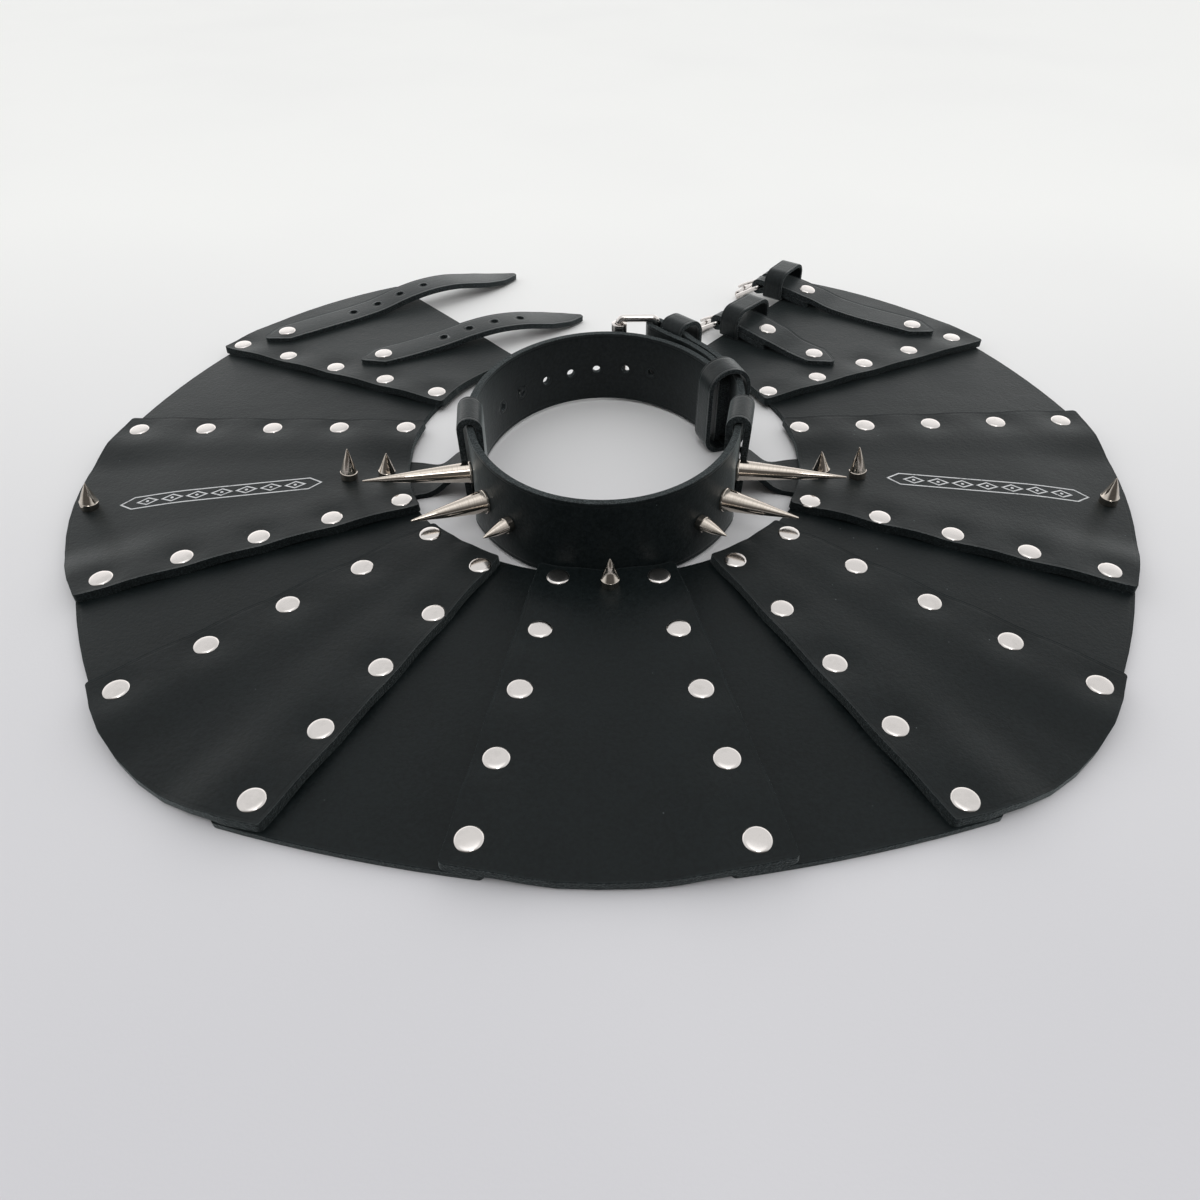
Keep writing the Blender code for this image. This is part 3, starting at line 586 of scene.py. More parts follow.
def smooth_path(points: Sequence[Vector], step: float) -> list[Vector]:
    """Points of a Catmull-Rom curve through the ones given, about one step apart.

    Args:
        points: points on the curve.
        step: the spacing of the new points.

    Returns:
        The new points.
    """
    padded = [points[0] * 2.0 - points[1], *points, points[-1] * 2.0 - points[-2]]
    made = []
    for a, b, c, d in zip(padded, padded[1:], padded[2:], padded[3:]):
        count = max(1, round((c - b).length / step))
        for index in range(count):
            t = index / count
            made.append(0.5 * ((2.0 * b) + (c - a) * t + (2.0 * a - 5.0 * b + 4.0 * c - d) * t * t
                               + (3.0 * b - a - 3.0 * c + d) * t ** 3))
    made.append(points[-1])
    return made


def edge_distance(outline: Sequence[Point], spots: np.ndarray) -> np.ndarray:
    """How far each spot is from a closed outline.

    Args:
        outline: the outline.
        spots: the spots, one a row.

    Returns:
        One distance for each spot.
    """
    start = np.array(outline, float)
    run = np.roll(start, -1, axis=0) - start
    run += 1e-9
    gap = spots[:, None, :] - start[None]
    share = np.clip((gap * run).sum(-1) / (run * run).sum(-1), 0.0, 1.0)
    return np.linalg.norm(gap - share[..., None] * run, axis=-1).min(axis=1)


def is_inside(outline: Sequence[Point], spots: np.ndarray) -> np.ndarray:
    """Whether each spot is inside a closed outline.

    Args:
        outline: the outline.
        spots: the spots, one a row.

    Returns:
        One answer for each spot.
    """
    start = np.array(outline, float)
    end = np.roll(start, -1, axis=0)
    x, y = spots[:, :1], spots[:, 1:]
    spans = (start[:, 1] > y) != (end[:, 1] > y)
    cross = start[:, 0] + (y - start[:, 1]) / (end[:, 1] - start[:, 1] + 1e-12) * (end[:, 0] - start[:, 0])
    return (spans & (x < cross)).sum(axis=1) % 2 == 1


def held(value: float) -> float:
    """A number held between 0 and 1."""
    return min(1.0, max(0.0, value))


def path_run(points: np.ndarray) -> np.ndarray:
    """How far along a line each of its points is."""
    return np.concatenate(([0.0], np.cumsum(np.linalg.norm(np.diff(points, axis=0), axis=1))))


def eased(share: np.ndarray) -> np.ndarray:
    """A share from 0 to 1 with soft ends."""
    part = np.clip(share, 0.0, 1.0)
    return part * part * (3.0 - 2.0 * part)


def place(origin: Sequence[float], along: Sequence[float], up: Sequence[float]) -> Matrix:
    """A matrix with X along, Z up and its origin in millimetres.

    Args:
        origin: where it stands.
        along: the direction near its X.
        up: the direction of its Z.

    Returns:
        The matrix.
    """
    z_axis = Vector(up).normalized()
    y_axis = z_axis.cross(Vector(along)).normalized()
    x_axis = y_axis.cross(z_axis)
    made = Matrix((x_axis, y_axis, z_axis)).transposed().to_4x4()
    made.translation = Vector(origin)
    return made


# ---------------------------------------------------------------------- making pieces


@dataclass(frozen=True)
class Punch:
    """A round hole, or a slot with round ends, through flat leather."""

    x: float
    y: float
    radius: float
    half: float = 0.0
    border: float = 1.1

    @property
    def reach(self) -> float:
        """Half the square of leather that is reworked round the hole."""
        return self.radius + self.border


@dataclass
class Blank:
    """A piece of leather cut flat, before it is bent to shape. Sizes are in millimetres."""

    outline: list[Point]
    crease: float = 1.5
    cell: Point = (6.0, 6.0)
    punches: list[Punch] = field(default_factory=list)
    weld: float = 0.15
    clearance: float = 0.7
    hole_segments: int = 24

    def cut(self) -> bmesh.types.BMesh:
        """Cuts the flat shape, its edge strip, its working grid and its holes.

        Returns:
            The flat mesh in millimetres, with its rim attribute.
        """
        work = bmesh.new()
        face = work.faces.new([work.verts.new((x, y, 0.0)) for x, y in self.outline])
        work.normal_update()
        if face.normal.z < 0.0:
            face.normal_flip()
        bmesh.ops.inset_region(work, faces=[face], thickness=self.crease, use_boundary=True,
                               use_even_offset=True)
        for spot, normal in self._lines():
            everything = work.verts[:] + work.edges[:] + work.faces[:]
            bmesh.ops.bisect_plane(work, geom=everything, dist=1e-4, plane_co=spot, plane_no=normal)
        for punch in self.punches:
            self._pierce(work, punch)
        bmesh.ops.remove_doubles(work, verts=work.verts, dist=self.weld)
        work.normal_update()
        bmesh.ops.reverse_faces(work, faces=[face for face in work.faces if face.normal.z < 0.0])
        self._mark(work)
        return work

    def _lines(self) -> list[tuple[Vector, Vector]]:
        """The lines of the working grid, as points and normals.

        Returns:
            A point and a normal for each line.
        """
        made = []
        for axis in (0, 1):
            low = min(point[axis] for point in self.outline)
            high = max(point[axis] for point in self.outline)
            count = max(1, math.ceil((high - low) / self.cell[axis]))
            levels = [low + (high - low) * step / count for step in range(1, count)]
            edges = []
            for punch in self.punches:
                reach = punch.reach + (punch.half if axis == 0 else 0.0)
                middle = punch.x if axis == 0 else punch.y
                edges += [middle - reach, middle + reach]
            clear = [level for level in levels if all(abs(level - edge) > self.clearance for edge in edges)]
            for level in sorted(set(clear + edges)):
                normal = Vector((1.0, 0.0, 0.0)) if axis == 0 else Vector((0.0, 1.0, 0.0))
                made.append((normal * level, normal))
        return made

    def _pierce(self, work: bmesh.types.BMesh, punch: Punch) -> None:
        """Takes out a hole and joins its round edge to the grid.

        Args:
            work: the flat mesh.
            punch: the hole.
        """
        reach_x = punch.reach + punch.half
        reach_y = punch.reach

        def near(spot: Vector, slack: float) -> bool:
            """Whether a spot is in the square round the hole."""
            return abs(spot.x - punch.x) < reach_x + slack and abs(spot.y - punch.y) < reach_y + slack

        gone = [face for face in work.faces if near(face.calc_center_median(), 0.0)]
        bmesh.ops.delete(work, geom=gone, context="FACES")
        square = [edge for edge in work.edges
                  if edge.is_boundary and all(near(vert.co, 1e-3) for vert in edge.verts)]
        middle = Matrix.Translation((punch.x, punch.y, 0.0))
        ring = bmesh.ops.create_circle(work, cap_ends=False, segments=self.hole_segments,
                                       radius=punch.radius, matrix=middle)
        for vert in ring["verts"]:
            vert.co.x += math.copysign(punch.half, vert.co.x - punch.x - 1e-4)
        circle = list({edge for vert in ring["verts"] for edge in vert.link_edges})
        if punch.half:
            long = [edge for edge in circle if edge.calc_length() > punch.half]
            cuts = round(2.0 * punch.half / self.cell[0])
            split = bmesh.ops.subdivide_edges(work, edges=long, cuts=cuts)
            added = [part for part in split["geom"] if isinstance(part, bmesh.types.BMEdge)]
            circle = list({*circle, *added})
        bmesh.ops.bridge_loops(work, edges=square + circle)

    def _mark(self, work: bmesh.types.BMesh) -> None:
        """Writes each point's distance to the nearest cut edge.

        Args:
            work: the flat mesh.
        """
        layer = work.verts.layers.float.new("rim")
        spots = np.array([vert.co.xy for vert in work.verts], float)
        away = edge_distance(self.outline, spots)
        for punch in self.punches:
            across = np.maximum(np.abs(spots[:, 0] - punch.x) - punch.half, 0.0)
            away = np.minimum(away, np.hypot(across, spots[:, 1] - punch.y) - punch.radius)
        for vert, gap in zip(work.verts, np.maximum(away, 0.0)):
            vert[layer] = float(gap)


def ring_edges(ring: Sequence[bmesh.types.BMVert]) -> list[bmesh.types.BMEdge]:
    """The edges that join the points of one ring."""
    inside = set(ring)
    return list({edge for vert in ring for edge in vert.link_edges if inside.issuperset(edge.verts)})


def bend(work: bmesh.types.BMesh, shape: Callable[[np.ndarray], np.ndarray]) -> None:
    """Moves a flat piece to its place: shape turns flat spots into positions in millimetres.

    Args:
        work: the flat mesh in millimetres.
        shape: gives positions for flat spots.
    """
    spots = np.array([vert.co.xy for vert in work.verts], float)
    for vert, spot in zip(work.verts, shape(spots) * MM):
        vert.co = Vector(spot)


@dataclass
class Workshop:
    """Turns finished meshes into pieces that ride on the frame, and keeps count of them."""

    leather: bpy.types.Material
    strap_leather: bpy.types.Material
    nickel: bpy.types.Material
    turned_nickel: bpy.types.Material
    paint: bpy.types.Material
    made: list[str] = field(default_factory=list)
    edge_segments: int = 3
    edge_angle: float = 50.0

    def piece(
        self,
        work: bmesh.types.BMesh,
        name: str,
        slot: Slot,
        body: str = ROOT,
        nodes: Sequence[str] = (),
        material: Optional[bpy.types.Material] = None,
    ) -> bpy.types.Object:
        """Makes one piece of a mesh.

        Args:
            work: the mesh in metres, at its place in the frame; it is used up.
            name: the piece's name.
            slot: the record's slot that its finish stands for.
            body: the body that it rides on.
            nodes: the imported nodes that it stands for.
            material: its finish, where it isn't the slot's own.

        Returns:
            The new object.
        """
        data = bpy.data.meshes.new(name)
        work.to_mesh(data)
        work.free()
        data.shade_smooth()
        item = bpy.data.objects.new(name, data)
        bpy.context.scene.collection.objects.link(item)
        own = self.leather if slot is Slot.LEATHER else self.nickel
        data.materials.append(material or own)
        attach(item, body)
        if nodes:
            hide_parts(*nodes)
        self.made.append(name)
        LOG.info("%s on %s", name, body)
        return item

    def leather_piece(
        self, work: bmesh.types.BMesh, name: str, thickness: float, nodes: Sequence[str] = (),
        rounding: float = 0.55, creased: bool = False,
    ) -> bpy.types.Object:
        """A leather piece of even thickness with slightly rounded edges, creased along them on a strap.

        Args:
            work: its middle layer in metres.
            name: its name.
            thickness: its thickness.
            nodes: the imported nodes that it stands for.
            rounding: the rounding of its edges.
            creased: whether it is a creased strap.

        Returns:
            The new object.
        """
        material = self.strap_leather if creased else self.leather
        item = self.piece(work, name, Slot.LEATHER, ROOT, nodes, material)
        wall = item.modifiers.new("thickness", "SOLIDIFY")
        wall.thickness = thickness * MM
        wall.offset = 0.0
        wall.use_even_offset = True
        wall.use_rim = True
        ease = item.modifiers.new("eased_edges", "BEVEL")
        ease.width = rounding * MM
        ease.segments = self.edge_segments
        ease.limit_method = "ANGLE"
        ease.angle_limit = math.radians(self.edge_angle)
        ease.harden_normals = True
        return item

    def turned(self, profile: Sequence[Point], steps: int) -> bpy.types.Mesh:
        """A turned shape at the origin, from (radius, height) points down its outer side, in millimetres.

        Args:
            profile: the outline.
            steps: steps round the axis.

        Returns:
            The mesh, in millimetres.
        """
        work = bmesh.new()
        line = [work.verts.new((radius, 0.0, height)) for radius, height in profile]
        edges = [work.edges.new(pair) for pair in zip(line, line[1:])]
        bmesh.ops.spin(work, geom=line + edges, cent=(0.0, 0.0, 0.0), axis=(0.0, 0.0, 1.0),
                       angle=2.0 * math.pi, steps=steps, use_merge=True, use_duplicate=False)
        bmesh.ops.remove_doubles(work, verts=work.verts, dist=1e-4)
        bmesh.ops.recalc_face_normals(work, faces=work.faces)
        layer = work.loops.layers.uv.new("turned")
        for face in work.faces:
            middle = face.calc_center_median()
            heading = math.atan2(middle.y, middle.x)
            for loop in face.loops:
                spot = loop.vert.co
                turn = math.remainder(math.atan2(spot.y, spot.x) - heading, 2.0 * math.pi) + heading
                loop[layer].uv = (turn / (2.0 * math.pi), spot.z)
        data = bpy.data.meshes.new("turned")
        work.to_mesh(data)
        work.free()
        return data

    def gather(self, shape: bpy.types.Mesh, places: Sequence[Matrix]) -> bmesh.types.BMesh:
        """Copies of a shape at several places, in metres.

        Args:
            shape: the shape, in millimetres.
            places: a matrix for each copy.

        Returns:
            One mesh of all the copies.
        """
        work = bmesh.new()
        scale = Matrix.Scale(MM, 4)
        for spot in places:
            before = len(work.verts)
            work.from_mesh(shape)
            work.verts.ensure_lookup_table()
            bmesh.ops.transform(work, matrix=scale @ spot, verts=work.verts[before:])
        return work

    def metal_piece(
        self, shape: bpy.types.Mesh, places: Sequence[Matrix], name: str, body: str = ROOT,
        nodes: Sequence[str] = (), sharp: float = 32.0, material: Optional[bpy.types.Material] = None,
    ) -> bpy.types.Object:
        """Turned nickel pieces that share one shape.

        Args:
            shape: the shape, in millimetres.
            places: a matrix for each copy.
            name: the piece's name.
            body: the body that it rides on.
            nodes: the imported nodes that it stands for.
            sharp: the angle of a sharp edge.
            material: its finish, where it isn't the slot's own.

        Returns:
            The new object.
        """
        item = self.piece(self.gather(shape, places), name, Slot.NICKEL, body, nodes, material)
        item.data.set_sharp_from_angle(angle=math.radians(sharp))
        return item

    def wire_piece(
        self, points: Sequence[Vector], radius: float, closed: bool, matrix: Matrix, name: str, body: str,
        nodes: Sequence[str], sides: int = 16,
    ) -> bpy.types.Object:
        """A round wire bent in its matrix's XY plane; open ends are closed with a small dome.

        Args:
            points: its centre line.
            radius: the wire's radius.
            closed: whether the line is a ring.
            matrix: where it stands, in millimetres.
            name: the piece's name.
            body: the body that it rides on.
            nodes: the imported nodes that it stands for.
            sides: points round the wire.

        Returns:
            The new object.
        """
        work = bmesh.new()
        count = len(points)
        rings = []
        for index in range(count):
            before = points[index - 1] if closed or index else points[0]
            after = points[(index + 1) % count] if closed or index < count - 1 else points[-1]
            turn = place(points[index], (0.0, 0.0, 1.0), after - before)
            ring = bmesh.ops.create_circle(work, cap_ends=False, segments=sides, radius=radius, matrix=turn)
            rings.append(ring["verts"])
        pairs = list(zip(rings, rings[1:])) + ([(rings[-1], rings[0])] if closed else [])
        for first, second in pairs:
            bmesh.ops.bridge_loops(work, edges=ring_edges(first) + ring_edges(second))
        if not closed:
            for ring in (rings[0], rings[-1]):
                cap = bmesh.ops.edgenet_fill(work, edges=ring_edges(ring))
                bmesh.ops.inset_region(work, faces=cap["faces"], thickness=0.35 * radius, depth=0.3 * radius)
        bmesh.ops.transform(work, matrix=Matrix.Scale(MM, 4) @ matrix, verts=work.verts)
        bmesh.ops.recalc_face_normals(work, faces=work.faces)
        if work.calc_volume(signed=True) < 0.0:
            bmesh.ops.reverse_faces(work, faces=work.faces)
        return self.piece(work, name, Slot.NICKEL, body, nodes)


# ---------------------------------------------------------------------- the mantle


Corner = tuple[float, float]


@dataclass(frozen=True)
class Plate:
    """One plate of the mantle by its corners, as (radius, angle) from the front."""

    name: str
    inner_start: Corner
    inner_end: Corner
    outer_end: Corner
    outer_middle: Corner
    outer_start: Corner
    rows: tuple[str, ...] = ()
    sag: float = 0.0
    left_middle: Optional[Corner] = None
    corner: float = 1.8

    def outline(self, side: float) -> list[Point]:
        """Its closed outline on one side of the mantle.

        Args:
            side: 1 or -1, the side of the mantle.

        Returns:
            The points in order.
        """
        middle = self.left_middle if self.left_middle and side < 0.0 else self.outer_middle
        inner = arc_points(self.inner_start, self.inner_end, side)
        outer = bowed_points(self.outer_end, middle, self.outer_start, side)
        points = inner + outer
        corners = {0, len(inner) - 1, len(inner), len(points) - 1}
        return rounded(points, [self.corner if index in corners else 0.0 for index in range(len(points))])


@dataclass
class Relief:
    """How an upper plate lies: down on the table between the under plates, pulled in at its rivets."""

    low: float
    thickness: float
    sag: float
    supports: list[list[Point]]
    rivets: list[Point]
    swells: list[tuple[float, float, float]]
    seed: float = 0.0
    dimple: float = 1.05
    dimple_reach: float = 5.8
    swell_reach: float = 9.0
    edge_inner: Point = (108.0, 128.0)
    edge_outer: Point = (200.0, 240.0)
    sag_reach: float = 24.0
    sag_least: float = 0.35
    wave_spans: Point = (37.0, 29.0)
    wave_heights: Point = (0.09, 0.06)

    def middle(self, spots: np.ndarray) -> np.ndarray:
        """Heights of the leather's middle layer at flat spots.

        Args:
            spots: the spots, one a row.

        Returns:
            One height for each spot.
        """
        level = np.full(len(spots), self.low + 0.5 * self.thickness)
        away = np.full(len(spots), 1e3)
        for outline in self.supports:
            gap = np.where(is_inside(outline, spots), 0.0, edge_distance(outline, spots))
            away = np.minimum(away, gap)
        radius = np.hypot(spots[:, 0], spots[:, 1] - MANTLE_Y)
        inner = 1.0 - eased((radius - self.edge_inner[0]) / (self.edge_inner[1] - self.edge_inner[0]))
        outer = eased((radius - self.edge_outer[0]) / (self.edge_outer[1] - self.edge_outer[0]))
        fullness = self.sag_least + (1.0 - self.sag_least) * np.maximum(inner, outer)
        level -= self.sag * eased(away / self.sag_reach) * fullness
        for x, y in self.rivets:
            near = np.hypot(spots[:, 0] - x, spots[:, 1] - y)
            level -= self.dimple * np.exp(-0.5 * (near / self.dimple_reach) ** 2)
        for x, y, height in self.swells:
            near = np.hypot(spots[:, 0] - x, spots[:, 1] - y)
            level += height * np.exp(-0.5 * (near / self.swell_reach) ** 2)
        across = spots[:, 0] / self.wave_spans[0] + self.seed
        along = spots[:, 1] / self.wave_spans[1] - self.seed
        broad, fine = self.wave_heights
        return level + broad * np.sin(across + 0.6 * along) + fine * np.sin(1.7 * along - 0.8 * across)

    def top(self, x: float, y: float) -> float:
        """Height of the leather's upper face at one spot."""
        return float(self.middle(np.array([[x, y]]))[0]) + 0.5 * self.thickness


@dataclass
class Rivets:
    """Flat rivet caps with a rolled rim."""

    profile: tuple[Point, ...] = (
        (0.0, 1.02), (1.6, 1.0), (3.0, 0.94), (3.9, 0.86), (4.25, 0.76), (4.55, 0.60), (4.78, 0.38),
        (4.92, 0.10), (4.9, -0.25), (4.5, -0.5), (0.0, -0.5),
    )
    steps: int = 40

    def build(self, shop: Workshop, name: str, places: Sequence[Matrix]) -> None:
        """Makes the caps of one plate or strap as one piece."""
        shop.metal_piece(shop.turned(self.profile, self.steps), places, name, sharp=60.0)


@dataclass
class Spike:
    """A turned cone on a short round foot."""

    radius: float
    length: float
    foot: float
    tip: float = 0.42
    step: float = 0.28

    def profile(self) -> list[Point]:
        """Its outline from the tip down the outer side to the middle of its base.

        Returns:
            Its (radius, height) points.
        """
        neck = self.foot + 0.25
        halfway = self.tip + 0.5 * (self.radius - 0.35)
        return [
            (0.0, self.length), (0.22, self.length - 0.12), (self.tip, self.length - 0.5),
            (halfway, 0.5 * (self.length + neck) - 0.25),
            (self.radius - self.step, neck), (self.radius, self.foot), (self.radius, 0.35),
            (self.radius - 0.25, 0.05), (self.radius - 0.5, 0.0), (0.0, 0.0),
        ]


class Stud(NamedTuple):
    """A small spike: its place from the mantle's centre, its lean inwards in degrees and its height."""

    name: str
    plate: str
    x: float
    y: float
    lean: float
    height: float


@dataclass
class Mantle:
    """The ring of overlapping plates with its rivets, small spikes and printed ornaments."""

    rivets: Rivets
    thickness: float = 3.9
    upper_low: float = 3.3
    under_thickness: float = 3.0
    front: Plate = Plate("front_plate", (103.2, -15.8), (103.4, 16.6), (246.0, 14.0), (245.9, 0.5),
                         (245.6, -12.3), ("front",), 2.5)
    upper: tuple[Plate, ...] = (
        Plate("chest_plate", (105.0, 25.2), (104.5, 47.0), (253.5, 49.2), (260.0, 38.0), (252.0, 26.0),
              ("chest_front", "chest_back"), 2.8),
        Plate("shoulder_plate", (102.7, 55.5), (93.6, 99.0), (247.5, 94.4), (248.0, 79.0), (247.5, 61.4),
              ("shoulder_front", "shoulder_back"), 2.8, (252.5, 77.0)),
        Plate("back_plate", (92.8, 110.8), (94.6, 149.2), (227.6, 143.2), (237.6, 127.5), (244.6, 113.6),
              ("rear",), 0.8),
    )
    under: tuple[Plate, ...] = (
        Plate("front_under", (103.5, 7.6), (104.5, 32.3), (257.0, 30.2), (248.9, 20.2), (245.3, 9.0)),
        Plate("side_under", (104.5, 41.0), (103.0, 62.7), (247.0, 64.6), (250.6, 54.0), (255.5, 44.6)),
        Plate("rear_under", (97.5, 91.0), (96.5, 119.0), (241.0, 117.6), (243.6, 104.5), (250.4, 89.6)),
    )
    row_count: int = 5
    swell_front: float = 0.55
    swell_back: float = 0.3
    swell_offset: float = 9.0
    slope_run: float = 4.0
    rows_right: dict[str, tuple[Corner, Corner]] = field(default_factory=lambda: {
        "front": ((110.5, 11.7), (237.0, 11.4)),
        "chest_front": ((112.9, 29.3), (247.2, 28.0)),
        "chest_back": ((114.3, 45.0), (247.6, 46.6)),
        "shoulder_front": ((110.5, 58.6), (236.5, 63.1)),
        "shoulder_back": ((100.5, 93.4), (236.0, 92.4)),
        "rear": ((98.8, 115.2), (231.3, 116.4)),
    })
    rows_left: dict[str, tuple[Corner, Corner]] = field(default_factory=lambda: {
        "front": ((110.0, 10.3), (235.4, 10.6)),
        "chest_front": ((113.7, 27.7), (245.3, 28.1)),
        "chest_back": ((110.5, 44.2), (246.0, 46.8)),
        "shoulder_front": ((108.3, 60.0), (236.3, 63.1)),
        "shoulder_back": ((102.4, 94.8), (239.5, 92.0)),
        "rear": ((101.1, 115.8), (236.5, 115.3)),
    })
    stud_radius: float = 4.0
    stud_foot: float = 3.6
    stud_steps: int = 48
    stud_sink: float = 0.1
    studs: tuple[Stud, ...] = (
        Stud("spike_front", "front_plate", 2.0, -112.5, 0.0, 14.0),
        Stud("spike_inner_right", "shoulder_plate_right", 104.0, -34.5, 7.0, 13.0),
        Stud("spike_inner_left", "shoulder_plate_left", -104.8, -32.5, 8.0, 13.0),
        Stud("spike_middle_right", "shoulder_plate_right", 120.5, -37.5, 6.5, 16.0),
        Stud("spike_middle_left", "shoulder_plate_left", -122.0, -35.5, 7.5, 16.0),
        Stud("spike_edge_right", "shoulder_plate_right", 232.0, -57.5, 4.0, 13.5),
        Stud("spike_edge_left", "shoulder_plate_left", -238.5, -55.0, 12.0, 13.5),
    )
    reliefs: dict[str, Relief] = field(default_factory=dict)

    def build(self, shop: Workshop) -> None:
        """Makes the plates, then what stands on them.

        Args:
            shop: makes the pieces.
        """
        supports = [plate.outline(side.value) for side in Side for plate in self.under]
        for side in Side:
            for plate in self.under:
                self._under_plate(shop, plate, side)
        self._upper_plate(shop, self.front, None, supports)
        for side in Side:
            for plate in self.upper:
                self._upper_plate(shop, plate, side, supports)
        self._studs(shop)
        for side in Side:
            Ornament().build(shop, side, self.reliefs["shoulder_plate_" + side.word])

    def _under_plate(self, shop: Workshop, plate: Plate, side: Side) -> None:
        """One of the plates that lie on the table.

        Args:
            shop: makes the piece.
            plate: the plate.
            side: its side.
        """
        work = Blank(plate.outline(side.value), cell=(9.0, 9.0)).cut()
        level = 0.5 * self.under_thickness

        def lie(spots: np.ndarray) -> np.ndarray:
            """Flat on the table."""
            return np.column_stack((spots, np.full(len(spots), level)))

        bend(work, lie)
        whole = f"{plate.name}_{side.word}"
        shop.leather_piece(work, whole + "_leather", self.under_thickness, [whole])

    def _row(self, name: str, side: Side) -> list[Point]:
        """The rivets of one row.

        Args:
            name: the row's name.
            side: its side.

        Returns:
            Their places.
        """
        rows = self.rows_right if side is Side.RIGHT else self.rows_left
        (inner_r, inner_a), (outer_r, outer_a) = rows[name]
        first = Vector(polar(inner_r, inner_a, side.value))
        last = Vector(polar(outer_r, outer_a, side.value))
        return [tuple(first.lerp(last, step / (self.row_count - 1))) for step in range(self.row_count)]

    def _upper_plate(
        self, shop: Workshop, plate: Plate, side: Optional[Side], supports: list[list[Point]]
    ) -> None:
        """One of the plates that show, with its rivets.

        Args:
            shop: makes the pieces.
            plate: the plate.
            side: its side, or none for the front plate.
            supports: the outlines of the plates under it.
        """
        sides = [side] if side else list(Side)
        names = [row for _ in sides for row in plate.rows]
        rows = [self._row(row, which) for which in sides for row in plate.rows]
        outline = plate.outline(side.value if side else 1.0)
        centre = np.array(outline).mean(axis=0)
        swells: list[tuple[float, float, float]] = []
        for name, row in zip(names, rows):
            height = self.swell_back if name.endswith("_back") else self.swell_front
            run = Vector(row[-1]) - Vector(row[0])
            normal = Vector((-run.y, run.x)).normalized()
            if normal.dot(Vector(centre) - Vector(row[2])) > 0.0:
                normal = -normal
            for first, second in zip(row, row[1:]):
                spot = 0.5 * (Vector(first) + Vector(second)) + normal * self.swell_offset
                swells.append((spot.x, spot.y, height))
        whole = plate.name + (f"_{side.word}" if side else "")
        spots = [spot for row in rows for spot in row]
        seed = len(whole) * 1.7 + (side.value if side else 0.0)
        relief = Relief(self.upper_low, self.thickness, plate.sag, supports, spots, swells, seed)
        self.reliefs[whole] = relief
        work = Blank(outline, crease=1.6, cell=(4.5, 4.5)).cut()

        def settle(flat: np.ndarray) -> np.ndarray:
            """Down on its relief."""
            return np.column_stack((flat, relief.middle(flat)))

        bend(work, settle)
        shop.leather_piece(work, whole + "_leather", self.thickness, [whole])
        places = [self._standing(relief, x, y) for x, y in spots]
        self.rivets.build(shop, whole + "_rivets", places)

    def _standing(self, relief: Relief, x: float, y: float) -> Matrix:
        """A matrix that stands square on the leather at one spot.

        Args:
            relief: the plate's relief.
            x: the place across.
            y: the place along.

        Returns:
            The matrix.
        """
        run = self.slope_run
        slope_x = (relief.top(x + run, y) - relief.top(x - run, y)) / (2.0 * run)
        slope_y = (relief.top(x, y + run) - relief.top(x, y - run)) / (2.0 * run)
        return place((x, y, relief.top(x, y)), (0.0, 1.0, 0.0), (-slope_x, -slope_y, 1.0))

    def _studs(self, shop: Workshop) -> None:
        """The small cone spikes.

        Args:
            shop: makes the pieces.
        """
        for stud in self.studs:
            spike = Spike(self.stud_radius, stud.height, self.stud_foot)
            shape = shop.turned(spike.profile(), self.stud_steps)
            angle = math.radians(stud.lean)
            inward = Vector((-stud.x, -stud.y, 0.0)).normalized()
            up = inward * math.sin(angle) + Vector((0.0, 0.0, math.cos(angle)))
            y = stud.y + MANTLE_Y
            level = self.reliefs[stud.plate].top(stud.x, y) - self.stud_sink
            spot = place((stud.x, y, level), (0.0, 1.0, 0.0), up)
            shop.metal_piece(shape, [spot], stud.name + "_cone", nodes=[stud.name],
                             material=shop.turned_nickel)


